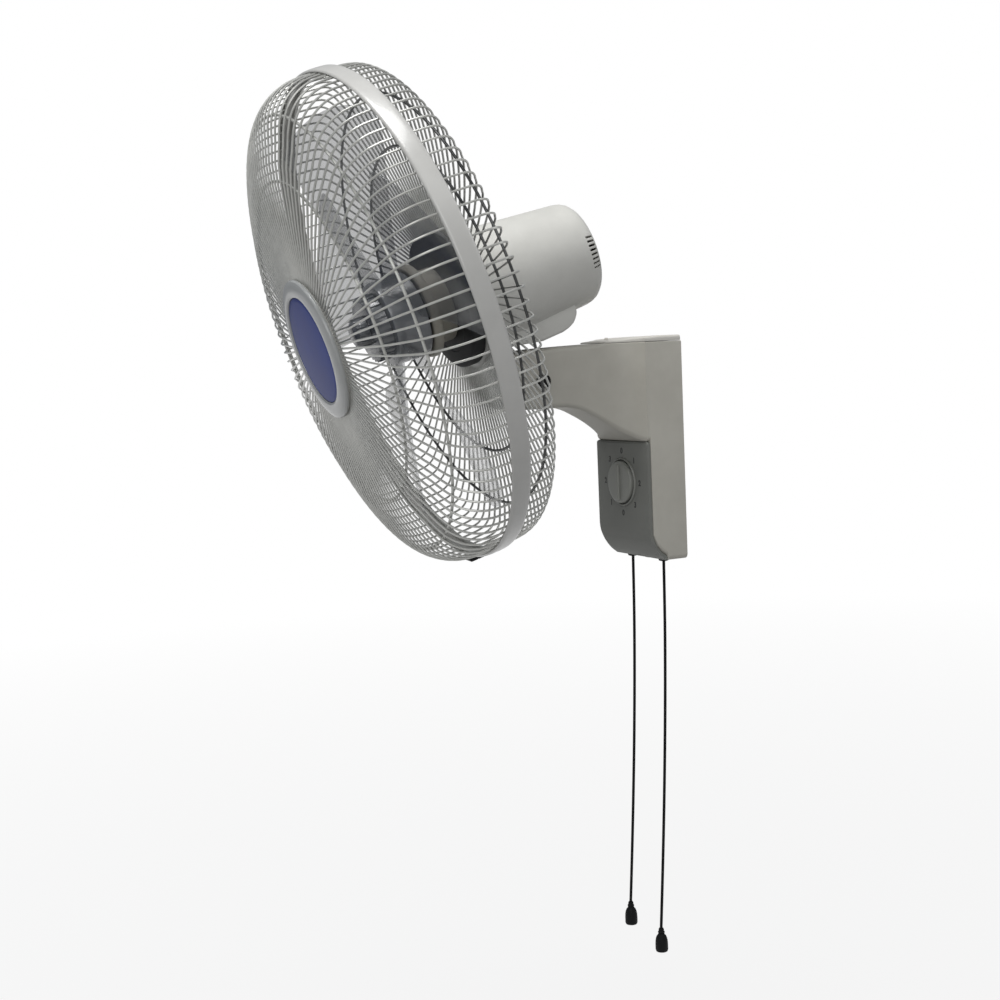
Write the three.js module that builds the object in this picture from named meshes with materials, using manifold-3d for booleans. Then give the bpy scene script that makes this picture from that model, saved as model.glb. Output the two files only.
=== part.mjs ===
// A wall-mounted fan: a base box and arm on the wall, a tilting and oscillating
// motor head, five blades and a wire guard, with two pull cords below the base.
// Millimetres. The wall is the plane y = 0, the fan faces -Y, +Z is up and the
// origin is the middle of the wall plate's back.

import * as THREE from 'three';
import { mergeVertices } from 'three/addons/utils/BufferGeometryUtils.js';
import Module from 'manifold-3d';

const wasm = await Module();
wasm.setup();

// ---------------------------------------------------------------- clearances
const gap = 0.3; // between touching pieces

// ------------------------------------------------------------- base and arm
const baseWidth = 90.5;
const baseHeight = 212;
const baseDepth = 38; // body only, the fascia stands in front of it
const underReach = 22.6; // wall to the lower edge of the fascia
const shellWall = 3.3;
const bodyTop = baseHeight / 2 - 4.2;
const armUnderside = bodyTop - 58;
const armWidth = 47;
const armReach = 182; // wall to the front end of the arm
const flareStart = 41; // wall to where the sides begin to draw in
const flareEnd = 78;
const capHeight = 5.2;
const capFrontHeight = 1.7; // at the cover's front end
const capLevel = 25; // wall to where the cover begins to slope down
const capReach = 71;
const capNubHeight = 2.2;
const fasciaThickness = 4;
const fasciaTop = armUnderside - 35.8;
const fasciaBend = 32; // above the base's bottom, where the front turns under
const plateThickness = 3;
const plateInset = 13; // above and below the plate, to the base's ends
const plateHeight = baseHeight - 2 * plateInset;
const screwInset = 18; // from a plate end to its screw
const wallScrewSpacing = plateHeight - 2 * screwInset;
const wallScrewRadius = 2.1;
const wallScrewHead = 4.2;

// --------------------------------------------------------------- dial switch
const dialHeight = fasciaTop - 39.8;
const dialRadius = 20.4;
const dialProud = 4.4;
const dialGripWidth = 5;
const dialGripProud = 2.6;
const bezelRadius = 26;
const bezelProud = 1.6;
const dialShaftRadius = 3;
const switchRadius = 14;
const switchDepth = 15;

// ---------------------------------------------------------------- pull cords
const cordSpacing = 54;
const cordDepth = 15.7; // wall to the cords
const cordRadius = 1.4;
const cordLengthLeft = 350;
const cordLengthRight = 360.5;
const cordLean = 17; // how far the free end of a cord stands off plumb
const eyeletRadius = 5;
const eyeletProud = 2.6;
const bellRadius = 6.2;
const bellNeckRadius = 2.6;
const bellLength = 22.4;
const pullSwitchWidth = 20;
const pullSwitchDepth = 13;
const pullSwitchHeight = 24;
const pullTravel = 11;
const inletRadius = 6;
const inletDepth = 9.6; // wall to the middle of the lead inlet

// --------------------------------------------------------------- tilt and pan
const tiltDown = 17.66; // degrees at rest
const panAside = -5.31; // degrees at rest
const boltFromWall = 140;
const boltHeight = bodyTop - 32.3;
const boltRadius = 3.2;
const boltCapRadius = 6.6;
const boltCapThickness = 6;
const slotWidth = 31;
const slotFloor = armUnderside + 3.8;
const bossRadius = 13;
const boltBehindRim = 115.8;
const boltBelowAxis = 97.1;
const pivotBehindRim = 86.6;
const neckRadius = 13;
const pinRadius = 4.6;
const washerThickness = 2;
const leverReach = 19;

// --------------------------------------------------------------------- motor
const motorFrontRadius = 56.4;
const motorRearRadius = 48.2;
const motorFront = 74.2; // all depths are behind the rim's front edge
const motorRear = 201;
const motorEdge = 9; // rounding of the rear edge
const motorWall = 2.6;
const gearHalfWidth = 28;
const gearSeat = 57; // below the motor's axis, where the neck meets it
const gearDrop = 62.2;
const gearRear = 169.5;
const ventCount = 8;
const ventPitch = 4.9; // degrees
const ventLength = 8;
const ventHeight = 2;
const coverThickness = 4;
const shaftRadius = 4;
const bearingRadius = 11;
const bearingWidth = 7;
const rotorRadius = 25;
const statorRadius = 42;
const statorFront = 92;
const statorRear = 138;
const wheelRadius = 12;
const wheelAside = 17.4;
const wheelBehindRim = 152;
const crankRadius = 7.4;

// -------------------------------------------------------------- guard and rim
const guardRadius = 221.6;
const wireCount = 56; // each stands for two of the real wires
const wireRadius = 0.95;
const ringWireRadius = 1.4;
const rimStandOff = 3.8; // from the wires' circle to the band's outside
const rimOuter = guardRadius + rimStandOff;
const rimWidth = 17.4;
const rimWall = 1.7;
const rimLip = rimOuter - 2.4;
const edgeThickness = 2.4;
const clampWidth = 15;
const clampHeight = 6;
const shoulderInset = 26.6; // where the front wires turn in from the shoulder
const frontRingRadii = [22.8, 75.1].map((inset) => guardRadius - inset);
const rearRingRadii = [29.9, 78.3].map((inset) => guardRadius - inset);
const badgeRadius = 63;
const badgeFace = -70;
const badgeBezelWidth = 15;
const guardHubFace = -66;
const rearHubDepth = 69.4;
const rearHubRadius = 66;
const rearHubBore = 26;
const clampRadius = 62; // the dark clamp in front of the rear guard's hub
const clampFront = 54.5;
const nutRadius = 43;
const nutFront = 28;

// ----------------------------------------------------------------- fan blade
const bladeCount = 5;
const bladeTip = 190;
const bladeRoot = 36;
const bladeThickness = 2.2;
const bladeSpread = 54; // degrees, front edge to back edge
const bladeFront = -13; // depth of the tip's front corner
const bladeDepth = 40;
const rootFront = -2;
const rootDepth = 24;
const hubRadius = 38;
const hubFront = -6;
const hubRear = 26;
const collarRadius = 29;
const collarFront = -20;
const spinnerRadius = 13.4;
const spinnerLength = 13;
const bladePhase = 36; // degrees, turns the whole blade about its shaft
const drivePinRadius = 1.6;

// ------------------------------------------------------------------ materials
const look = (color, roughness, metalness = 0) =>
  new THREE.MeshStandardMaterial({ color, roughness, metalness });
const bodyGrey = look('#9a978f', 0.55);
const cheekGrey = look('#a3a097', 0.55);
const fasciaGrey = look('#5b5c58', 0.6);
const dialGrey = look('#6d6f69', 0.5);
const motorGrey = look('#c9c8c2', 0.5);
const rimGrey = look('#c6c6c4', 0.45);
const wirePaint = look('#b9b9b4', 0.4, 0.3);
const darkWire = look('#3a3b3a', 0.45, 0.3);
const smokyBlade = look('#7d8084', 0.25);
const darkPlastic = look('#2f3133', 0.5);
const blackCord = look('#141414', 0.8);
const bezelSilver = look('#b4b8ba', 0.25, 0.4);
const badgeBlue = look('#2b3e8c', 0.15);
const steel = look('#a8aaac', 0.35, 0.9);
const copper = look('#a5622f', 0.45, 0.7);
const brass = look('#b39246', 0.35, 0.8);
const cream = look('#d8d3c2', 0.6);

// -------------------------------------------------------------------- helpers
const radians = THREE.MathUtils.degToRad;

// Merges the shared corners, drops empty triangles and turns the faces outward.
function closed(geometry) {
  const bare = geometry.clone();
  for (const name of Object.keys(bare.attributes)) {
    if (name !== 'position') bare.deleteAttribute(name);
  }
  const merged = mergeVertices(bare, 1e-4);
  const corners = merged.index.array;
  const place = merged.attributes.position;
  const [a, b, c] = [new THREE.Vector3(), new THREE.Vector3(), new THREE.Vector3()];
  const kept = [];
  let volume = 0;
  for (let i = 0; i < corners.length; i += 3) {
    const [p, q, r] = [corners[i], corners[i + 1], corners[i + 2]];
    if (p === q || q === r || r === p) continue;
    kept.push(p, q, r);
    a.fromBufferAttribute(place, p);
    b.fromBufferAttribute(place, q);
    c.fromBufferAttribute(place, r);
    volume += a.dot(b.cross(c));
  }
  if (volume < 0) {
    for (let i = 0; i < kept.length; i += 3) [kept[i], kept[i + 1]] = [kept[i + 1], kept[i]];
  }
  merged.setIndex(kept);
  return merged;
}

function solid(geometry) {
  const merged = closed(geometry);
  return new wasm.Manifold(new wasm.Mesh({
    numProp: 3,
    vertProperties: Float32Array.from(merged.attributes.position.array),
    triVerts: Uint32Array.from(merged.index.array),
  }));
}

function surface(body) {
  const mesh = body.getMesh();
  const geometry = new THREE.BufferGeometry();
  const places = new Float32Array(mesh.numVert * 3);
  for (let i = 0; i < mesh.numVert; i += 1) {
    for (let k = 0; k < 3; k += 1) places[3 * i + k] = mesh.vertProperties[mesh.numProp * i + k];
  }
  geometry.setAttribute('position', new THREE.BufferAttribute(places, 3));
  geometry.setIndex(Array.from(mesh.triVerts));
  return geometry;
}

const join = (...parts) => surface(wasm.Manifold.union(parts.map(solid)));
const cut = (whole, ...tools) =>
  surface(tools.reduce((left, tool) => left.subtract(solid(tool)), solid(whole)));

function box(width, depth, height, x, y, z) {
  return new THREE.BoxGeometry(width, depth, height).translate(x, y, z);
}

// A straight round bar along one axis, at a place across the other two.
function rod(axis, radius, from, to, across = [0, 0], sides = 14) {
  const bar = new THREE.CylinderGeometry(radius, radius, Math.abs(to - from), sides);
  const middle = (from + to) / 2;
  if (axis === 'x') return bar.rotateZ(Math.PI / 2).translate(middle, across[0], across[1]);
  if (axis === 'y') return bar.translate(across[0], middle, across[1]);
  return bar.rotateX(Math.PI / 2).translate(across[0], across[1], middle);
}

// Turns a list of [radius, y] round the Y axis.
function turned(profile, sides = 24) {
  const onAxis = profile[0][0] === 0 && profile[profile.length - 1][0] === 0;
  const loop = onAxis ? profile : [...profile, profile[0]];
  return new THREE.LatheGeometry(loop.map(([r, y]) => new THREE.Vector2(r, y)), sides);
}

const washer = (inner, outer, from, to, sides = 24) =>
  turned([[inner, from], [outer, from], [outer, to], [inner, to]], sides);

// An outline given as [y, z] pairs, drawn out across X.
function acrossX(outline, from, to) {
  const shape = new THREE.Shape(outline.map(([y, z]) => new THREE.Vector2(y, z)));
  const slab = new THREE.ExtrudeGeometry(shape, { depth: to - from, bevelEnabled: false });
  slab.applyMatrix4(new THREE.Matrix4().set(0, 0, 1, from, 1, 0, 0, 0, 0, 1, 0, 0, 0, 0, 0, 1));
  return slab;
}

// An outline given as [x, y] pairs, drawn up along Z.
function alongZ(outline, from, to) {
  const shape = new THREE.Shape(outline.map(([x, y]) => new THREE.Vector2(x, y)));
  return new THREE.ExtrudeGeometry(shape, { depth: to - from, bevelEnabled: false })
    .translate(0, 0, from);
}

// Closes a stack of equal loops of points into one body.
function stacked(loops, ends = true) {
  const count = loops[0].length;
  const places = loops.flat().flatMap((point) => [point.x, point.y, point.z]);
  const corners = [];
  const rows = ends ? loops.length - 1 : loops.length;
  for (let i = 0; i < rows; i += 1) {
    const next = (i + 1) % loops.length;
    for (let k = 0; k < count; k += 1) {
      const [a, b] = [i * count + k, i * count + (k + 1) % count];
      const [c, d] = [next * count + k, next * count + (k + 1) % count];
      corners.push(a, b, d, a, d, c);
    }
  }
  if (ends) {
    const last = (loops.length - 1) * count;
    for (let k = 1; k < count - 1; k += 1) {
      corners.push(0, k + 1, k, last, last + k, last + k + 1);
    }
  }
  const geometry = new THREE.BufferGeometry();
  geometry.setAttribute('position', new THREE.Float32BufferAttribute(places, 3));
  geometry.setIndex(corners);
  return closed(geometry);
}

// A radial wire in the plane x = 0 through [depth, radius] points, from the rim
// inward, with one edge of its section to the outside of the guard.
function wire(route, radius, sides = 3) {
  const points = route.map(([y, z]) => new THREE.Vector3(0, y, z));
  const side = new THREE.Vector3(Math.sign(route[0][0] - route[route.length - 1][0]), 0, 0);
  return stacked(points.map((point, i) => {
    const along = new THREE.Vector3()
      .subVectors(points[Math.min(i + 1, points.length - 1)], points[Math.max(i - 1, 0)])
      .normalize();
    const up = new THREE.Vector3().crossVectors(along, side);
    return Array.from({ length: sides }, (_, k) => {
      const turn = (2 * Math.PI * k) / sides;
      return point.clone()
        .addScaledVector(side, radius * Math.sin(turn))
        .addScaledVector(up, radius * Math.cos(turn));
    });
  }));
}

// A round ring of wire about the Y axis.
function hoop(ringRadius, depth, radius, sides = 3, steps = 40) {
  const profile = Array.from({ length: sides }, (_, k) => {
    const turn = (2 * Math.PI * k) / sides;
    return [ringRadius + radius * Math.cos(turn), depth + radius * Math.sin(turn)];
  });
  return turned(profile, steps);
}

const around = (geometry, count) => Array.from({ length: count }, (_, k) =>
  geometry.clone().rotateY((2 * Math.PI * (k + 0.5)) / count));

const fan = new THREE.Group();

function piece(name, geometry, material, parent = fan) {
  const mesh = new THREE.Mesh(closed(geometry), material);
  mesh.name = name;
  parent.add(mesh);
  return mesh;
}

// ------------------------------------------------------- groups of the head
// Inside these groups y is the depth behind the rim's front edge and the origin
// is on the motor's axis, so the whole head is drawn untilted.
const tiltFrame = new THREE.Group();
const boltOffset = new THREE.Vector3(0, boltBehindRim - pivotBehindRim, -boltBelowAxis);
boltOffset.applyAxisAngle(new THREE.Vector3(1, 0, 0), radians(tiltDown));
tiltFrame.position.set(0, -boltFromWall, boltHeight).sub(boltOffset);
tiltFrame.rotation.x = radians(tiltDown);
const bracketFrame = new THREE.Group();
bracketFrame.position.y = -pivotBehindRim;
const panFrame = new THREE.Group();
panFrame.rotation.z = radians(panAside);
const head = new THREE.Group();
head.position.y = -pivotBehindRim;
panFrame.add(head);
tiltFrame.add(bracketFrame, panFrame);
fan.add(tiltFrame);

// --------------------------------------------------------------- body shell
const halfBase = baseWidth / 2;
const halfArm = armWidth / 2;
const baseBottom = -baseHeight / 2;
const backFace = -gap;

// Half the width of the body, looking down on it, at a distance from the wall.
function halfWidthAt(reach) {
  if (reach <= flareStart) return halfBase;
  if (reach >= flareEnd) return halfArm;
  const share = (reach - flareStart) / (flareEnd - flareStart);
  return halfArm + (halfBase - halfArm) * (1 - share) ** 3;
}

// One upright rounded section of the arm or base at a distance from the wall.
function section(reach, low, high, halfWidth, corner) {
  const points = [];
  const round = Math.min(corner, (high - low) / 2.2, halfWidth / 1.2);
  const centres = [[1, 1, 0], [-1, 1, 1], [-1, -1, 2], [1, -1, 3]];
  for (const [sx, sz, quarter] of centres) {
    for (let k = 0; k <= 2; k += 1) {
      const turn = (quarter + k / 2) * (Math.PI / 2);
      points.push(new THREE.Vector3(
        sx * (halfWidth - round) + round * Math.cos(turn),
        -reach,
        (sz > 0 ? high - round : low + round) + round * Math.sin(turn),
      ));
    }
  }
  return points;
}

const armCorner = 5;
const noseCorner = 7;
const frontUnder = baseBottom + 24; // where the front of the body turns under
const noseMiddle = (armUnderside + bodyTop) / 2 - 4.8;
const armSections = [
  [armReach, noseMiddle - 7, noseMiddle + 7, 16.4],
  [armReach - 3, noseMiddle - 15, noseMiddle + 14, 18.4],
  [armReach - 9, noseMiddle - 21.5, noseMiddle + 22, 21.4],
  [armReach - 16, armUnderside + 0.6, bodyTop - 6.8, 22.8],
  [armReach - 24, armUnderside, bodyTop - 4.2, halfArm],
  [boltFromWall - 6, armUnderside, bodyTop - 2.4, halfArm],
  [114, armUnderside, bodyTop - 1.5, halfArm],
  [98, armUnderside - 3.2, bodyTop - 0.8, halfArm],
  [84, armUnderside - 9.8, bodyTop - 0.3, halfWidthAt(84)],
  [74, armUnderside - 15.4, bodyTop, halfWidthAt(74)],
  [64, armUnderside - 21.8, bodyTop, halfWidthAt(64)],
  [56, armUnderside - 26.8, bodyTop, halfWidthAt(56)],
  [50, armUnderside - 30.4, bodyTop, halfWidthAt(50)],
  [45, armUnderside - 33.4, bodyTop, halfWidthAt(45)],
  [flareStart, fasciaTop + gap, bodyTop, halfBase],
  [baseDepth + 0.3, fasciaTop + gap, bodyTop, halfBase],
  [baseDepth, frontUnder, bodyTop, halfBase],
  [33.8, baseBottom + 14.2, bodyTop, halfBase],
  [28.4, baseBottom + 8.4, bodyTop, halfBase],
  [underReach + 0.4, baseBottom + 4.4, bodyTop, halfBase],
  [underReach, baseBottom, bodyTop, halfBase],
  [-backFace, baseBottom, bodyTop, halfBase],
];
const bodySolid = stacked(armSections.map(([reach, low, high, half], i) =>
  section(reach, low, high, half, i < 5 ? noseCorner : armCorner)));

const cavityTop = bodyTop - shellWall;
const switchWall = baseDepth - shellWall; // back of the wall that holds the dial switch
const cavity = acrossX([
  [1, cavityTop], [-switchWall, cavityTop], [-switchWall, frontUnder + 5],
  [-30, baseBottom + 18], [-24.5, baseBottom + 11], [-19, baseBottom + 7.5],
  [-16.6, baseBottom + shellWall], [1, baseBottom + shellWall],
], -halfBase + shellWall, halfBase - shellWall);
const slotBackRadius = bossRadius + 3.2;
const ductStart = switchWall - 3;
const ductEnd = boltFromWall - slotBackRadius + 2;
const ductFloor = armUnderside + 5.6;
const ductRoof = bodyTop - 6.4;
const armDuct = box(armWidth - 10, ductEnd - ductStart, ductRoof - ductFloor, 0,
  -(ductEnd + ductStart) / 2, (ductRoof + ductFloor) / 2);
const slot = box(slotWidth, armReach - boltFromWall + 4, 80, 0,
  -(armReach + boltFromWall + 4) / 2, slotFloor + 40);
const slotBack = rod('x', slotBackRadius, -slotWidth / 2, slotWidth / 2,
  [-boltFromWall, boltHeight], 16);
const slotMouth = box(slotWidth, 2 * slotBackRadius, 60, 0, -boltFromWall, boltHeight + 30);
const boltHole = rod('x', boltRadius + gap, -halfArm - 5, halfArm + 5,
  [-boltFromWall, boltHeight]);
const shaftHole = rod('y', dialShaftRadius + 1.2, -baseDepth - 2, -switchWall + 2,
  [0, dialHeight], 12);
const cordHole = (x) => rod('z', eyeletRadius - 1.2 + gap, baseBottom - 6, baseBottom + 10,
  [x, -cordDepth], 12);
const inletHole = rod('z', inletRadius + gap, baseBottom - 6, baseBottom + 10, [0, -inletDepth]);
piece('body_shell', cut(bodySolid, cavity, armDuct, slot, slotBack, slotMouth, boltHole, shaftHole,
  cordHole(-cordSpacing / 2), cordHole(cordSpacing / 2), inletHole), bodyGrey);

// The cover over the back of the arm, with a small catch nub.
const capOutline = [];
for (const reach of [-backFace, flareStart, 45, 50, 56, 62, capReach]) {
  capOutline.push([halfWidthAt(reach) - (reach > flareStart ? 0.6 : 0.2), -reach]);
}
const capPlan = [...capOutline, ...capOutline.map(([x, y]) => [-x, y]).reverse()];
const capBase = bodyTop + gap;
const capSlope = (capHeight - capFrontHeight) / (capReach - capLevel);
const capAbove = acrossX([
  [-capLevel, capBase + capHeight], [-capLevel, capBase + capHeight + 9],
  [-capReach - 3, capBase + capHeight + 9], [-capReach - 3, capBase + capFrontHeight - 3 * capSlope],
], -halfBase - 3, halfBase + 3);
const nubReach = 55;
const nubFoot = capBase + capHeight - (nubReach - capLevel) * capSlope;
const nub = rod('z', 1.6, nubFoot - 1, nubFoot + capNubHeight, [0, -nubReach], 10);
piece('top_cover', join(cut(alongZ(capPlan, capBase, capBase + capHeight), capAbove), nub),
  cheekGrey);

// ------------------------------------------------------------ wall plate
const plateWidth = baseWidth - 2 * (shellWall + gap);
const screwHole = (z) => rod('y', wallScrewRadius + gap, -plateThickness - 1, 1, [0, z], 12);
piece('wall_plate', cut(box(plateWidth, plateThickness, plateHeight, 0, -plateThickness / 2, 0),
  screwHole(wallScrewSpacing / 2), screwHole(-wallScrewSpacing / 2)), steel);
[['wall_screw_upper', 1], ['wall_screw_lower', -1]].forEach(([name, sign]) => {
  piece(name, turned([
    [0, -gap], [wallScrewRadius, -gap],
    [wallScrewRadius, -plateThickness - gap], [wallScrewHead, -plateThickness - gap],
    [wallScrewHead * 0.7, -plateThickness - gap - 2.4], [0, -plateThickness - gap - 2.4],
  ], 12).translate(0, 0, (sign * wallScrewSpacing) / 2), steel);
});

// ----------------------------------------------------------- control fascia
const fasciaBack = baseDepth + gap;
const fasciaFront = fasciaBack + fasciaThickness;
const bendHeight = baseBottom + fasciaBend;
const fasciaOutline = [
  [-fasciaBack, fasciaTop], [-fasciaFront + 1.4, fasciaTop], [-fasciaFront, fasciaTop - 2],
  [-fasciaFront, bendHeight], [-fasciaFront + 1.2, bendHeight - 8],
  [-fasciaFront + 5.4, bendHeight - 17.4], [-fasciaFront + 11.6, bendHeight - 25.6],
  [-underReach - 2, baseBottom + 1.2], [-underReach - 0.4 - gap, baseBottom],
  [-underReach - 0.4 - gap, baseBottom + 3.9], [-28.7, baseBottom + 7.9],
  [-34.1, baseBottom + 13.8], [-fasciaBack, frontUnder - gap],
];
const bezelSeat = rod('y', bezelRadius - 2.4, -fasciaFront - 1, -fasciaFront + 1.6,
  [0, dialHeight], 24);
const fasciaHole = rod('y', dialShaftRadius + 1.2, -fasciaFront - 1, -fasciaBack + 1,
  [0, dialHeight], 12);
piece('control_fascia',
  cut(acrossX(fasciaOutline, -halfBase + 0.8, halfBase - 0.8), bezelSeat, fasciaHole), fasciaGrey);
piece('dial_bezel', washer(dialRadius + 1.2, bezelRadius - 2.4 - gap, -bezelProud, 1.2, 24)
  .translate(0, -fasciaFront, dialHeight), dialGrey);

const dial = new THREE.Group();
dial.position.set(0, -fasciaFront - gap, dialHeight);
fan.add(dial);
piece('dial_knob', join(
  turned([[0, 0], [dialRadius, 0], [dialRadius, -dialProud + 1.4], [dialRadius - 1.2, -dialProud],
    [0, -dialProud]], 24),
  box(dialGripWidth, dialGripProud + 1, 2 * dialRadius - 5, 0, -dialProud - dialGripProud / 2 + 0.5, 0),
), dialGrey, dial);
piece('dial_shaft', rod('y', dialShaftRadius, gap, fasciaFront - switchWall + 3, [0, 0], 12),
  steel, dial);
const switchFront = -switchWall + gap;
piece('speed_switch', cut(
  rod('y', switchRadius, switchFront, switchFront + switchDepth, [0, dialHeight], 16),
  rod('y', dialShaftRadius + gap, switchFront - 1, switchFront + 5, [0, dialHeight], 12),
), darkPlastic);

// ------------------------------------------------------------- base innards
piece('run_capacitor', box(38, 15, 24, 14, -switchWall + gap + 7.5, 34), darkPlastic);
piece('terminal_block', box(40, 13, 18, -20, -switchWall + gap + 6.5, 8), cream);
piece('lead_inlet', turned([
  [3, -1.6], [inletRadius + 1.8, -1.6], [inletRadius + 1.8, -gap], [inletRadius, -gap],
  [inletRadius, shellWall + gap], [inletRadius + 1, shellWall + gap], [inletRadius + 1, 5.6],
  [3, 5.6],
], 14).rotateX(Math.PI / 2).translate(0, -inletDepth, baseBottom), darkPlastic);

// --------------------------------------------------------------- pull cords
// Each cord hangs from its switch lever, through an eyelet, to a bell.
const cordTop = baseBottom - eyeletProud - gap;
function pullCord(side, x, length) {
  const eyelet = turned([
    [cordRadius + 0.7, -eyeletProud], [eyeletRadius, -eyeletProud], [eyeletRadius, -gap],
    [eyeletRadius - 1.2, -gap], [eyeletRadius - 1.2, shellWall + 1.4],
    [cordRadius + 0.7, shellWall + 1.4],
  ], 12).rotateX(Math.PI / 2).translate(x, -cordDepth, baseBottom);
  piece(`cord_eyelet_${side}`, eyelet, darkPlastic);

  const caseBottom = baseBottom + shellWall + 8;
  const switchCase = cut(
    box(pullSwitchWidth, pullSwitchDepth, pullSwitchHeight, x, -cordDepth,
      caseBottom + pullSwitchHeight / 2),
    rod('z', cordRadius + 0.4, caseBottom - 1, caseBottom + pullSwitchHeight - 3,
      [x, -cordDepth], 8),
  );
  piece(`pull_switch_${side}`, switchCase, cream);

  const lever = rod('z', cordRadius, cordTop + gap, caseBottom + pullTravel + 6, [x, -cordDepth], 8);
  piece(`switch_lever_${side}`, lever, blackCord);

  const steps = 26;
  const free = new THREE.CatmullRomCurve3(Array.from({ length: 7 }, (_, i) => {
    const share = i / 6;
    return new THREE.Vector3(x + 1.2 * Math.sin(share * 3.1),
      -cordDepth - cordLean * (share ** 1.4), cordTop - length * share);
  }));
  const rim = new THREE.Shape(Array.from({ length: 8 }, (_, k) => new THREE.Vector2(
    cordRadius * Math.cos((k * Math.PI) / 4), cordRadius * Math.sin((k * Math.PI) / 4))));
  const cordPath = new THREE.ExtrudeGeometry(rim, {
    steps, extrudePath: free, bevelEnabled: false,
  });
  piece(`pull_cord_${side}`, cordPath, blackCord);

  const end = free.getPoint(1);
  piece(`cord_bell_${side}`, turned([
    [0, 0], [bellNeckRadius, 0], [bellNeckRadius + 0.6, -bellLength * 0.3],
    [bellRadius - 1.4, -bellLength * 0.55], [bellRadius, -bellLength * 0.82],
    [bellRadius - 0.6, -bellLength], [0, -bellLength],
  ], 12).rotateX(Math.PI / 2).translate(end.x, end.y, end.z - 1), darkPlastic);
}
pullCord('speed', -cordSpacing / 2, cordLengthLeft);
pullCord('swing', cordSpacing / 2, cordLengthRight);

// ------------------------------------------------------------- tilt bracket
const seatDepth = -gearSeat - gap;
const neckTop = seatDepth - washerThickness - gap;
const bracketHalf = slotWidth / 2 - 1;
const neckFoot = -boltBelowAxis + bossRadius - 2;
const bracketOutline = [
  [boltBehindRim + 4, -boltBelowAxis + 12], [pivotBehindRim + neckRadius, neckFoot + 4],
  [pivotBehindRim - neckRadius, neckFoot + 4], [pivotBehindRim - neckRadius, neckFoot - 2],
  [boltBehindRim - 2, -boltBelowAxis - 12],
];
const bracket = join(
  acrossX(bracketOutline, -bracketHalf, bracketHalf),
  rod('x', bossRadius, -bracketHalf, bracketHalf, [boltBehindRim, -boltBelowAxis], 16),
  rod('z', neckRadius, neckFoot, neckTop, [0, pivotBehindRim], 20),
);
const pinFoot = neckTop - 16;
piece('tilt_bracket', cut(bracket,
  rod('x', boltRadius + gap, -bracketHalf - 1, bracketHalf + 1, [boltBehindRim, -boltBelowAxis]),
  rod('z', pinRadius + gap, pinFoot, neckTop + 1, [0, pivotBehindRim]),
), motorGrey, bracketFrame);
piece('neck_washer', cut(
  rod('z', neckRadius - 1, neckTop + gap, neckTop + gap + washerThickness, [0, pivotBehindRim], 20),
  rod('z', pinRadius + gap, neckTop - 1, seatDepth + 1, [0, pivotBehindRim]),
), darkPlastic, bracketFrame);

// The pivot pin is fixed in the bracket and carries the crank lever in the gear case.
const leverTop = -gearSeat + motorWall + 6.4;
const leverThickness = 3;
piece('pivot_pin', join(
  rod('z', pinRadius, pinFoot + gap, leverTop, [0, pivotBehindRim]),
  alongZ([[-5.4, pivotBehindRim - 5.4], [5.4, pivotBehindRim - 5.4],
    [3.4, pivotBehindRim + leverReach + 3], [-3.4, pivotBehindRim + leverReach + 3]],
  leverTop - leverThickness, leverTop),
), steel, bracketFrame);

piece('tilt_bolt', rod('x', boltRadius, -halfArm - 6, halfArm + 3,
  [-boltFromWall, boltHeight]), steel);
piece('tilt_bolt_cap', cut(
  rod('x', boltCapRadius, halfArm + gap, halfArm + gap + boltCapThickness,
    [-boltFromWall, boltHeight], 16),
  rod('x', boltRadius + gap, halfArm, halfArm + 3 + gap, [-boltFromWall, boltHeight]),
), darkPlastic);
piece('tilt_nut', cut(
  rod('x', 6, -halfArm - gap - 5, -halfArm - gap, [-boltFromWall, boltHeight], 6),
  rod('x', boltRadius + gap, -halfArm - 8, -halfArm, [-boltFromWall, boltHeight]),
), steel);

// -------------------------------------------------------------- motor casing
const flatRear = motorRearRadius - motorEdge;
const drum = turned([
  [0, motorFront], [motorFrontRadius, motorFront], [motorRearRadius, motorRear - motorEdge - 2],
  [motorRearRadius - 2.4, motorRear - 5], [flatRear + 1.5, motorRear - 1], [flatRear - 3, motorRear],
  [0, motorRear],
], 28);
const gearOutline = (inset) => [
  [motorFront + (inset ? -2 : 0), -20], [motorFront + (inset ? -2 : 0), -gearSeat + inset],
  [pivotBehindRim + neckRadius + 0.5, -gearSeat + inset],
  [128.5, -gearDrop + inset], [156 - inset, -gearDrop + 2.4 + inset],
  [163 - inset, -gearDrop + 5.6 + inset * 0.8], [gearRear - inset, -48], [gearRear - inset, -20],
];
const hollow = turned([
  [0, motorFront - 2], [motorFrontRadius - motorWall, motorFront - 2],
  [motorRearRadius - motorWall, motorRear - motorEdge - 3],
  [flatRear - 1, motorRear - motorWall], [0, motorRear - motorWall],
], 28);
const gearHollow = acrossX(gearOutline(motorWall), -gearHalfWidth + motorWall,
  gearHalfWidth - motorWall);
const vents = [];
for (let k = 0; k < ventCount; k += 1) {
  const turn = radians((k - (ventCount - 1) / 2) * ventPitch);
  const slotBox = box(2 * motorRearRadius + 20, ventLength, ventHeight, 0,
    motorRear - motorEdge - 1, 0);
  vents.push(slotBox.rotateY(turn));
}
const rearBoss = rod('y', bearingRadius + 3, motorRear - motorWall - 12, motorRear - 1, [0, 0], 16);
const rearSeat = rod('y', bearingRadius + gap, motorRear - motorWall - 13,
  motorRear - motorWall - 12 + bearingWidth + 1, [0, 0], 16);
const casing = solid(join(drum, acrossX(gearOutline(0), -gearHalfWidth, gearHalfWidth)))
  .subtract(solid(hollow)).subtract(solid(gearHollow));
const pinBore = rod('z', pinRadius + gap, -gearSeat - 2, -gearSeat + motorWall + 2,
  [0, pivotBehindRim]);
piece('motor_casing', cut(join(surface(casing), rearBoss), rearSeat, pinBore, ...vents),
  motorGrey, head);

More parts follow.
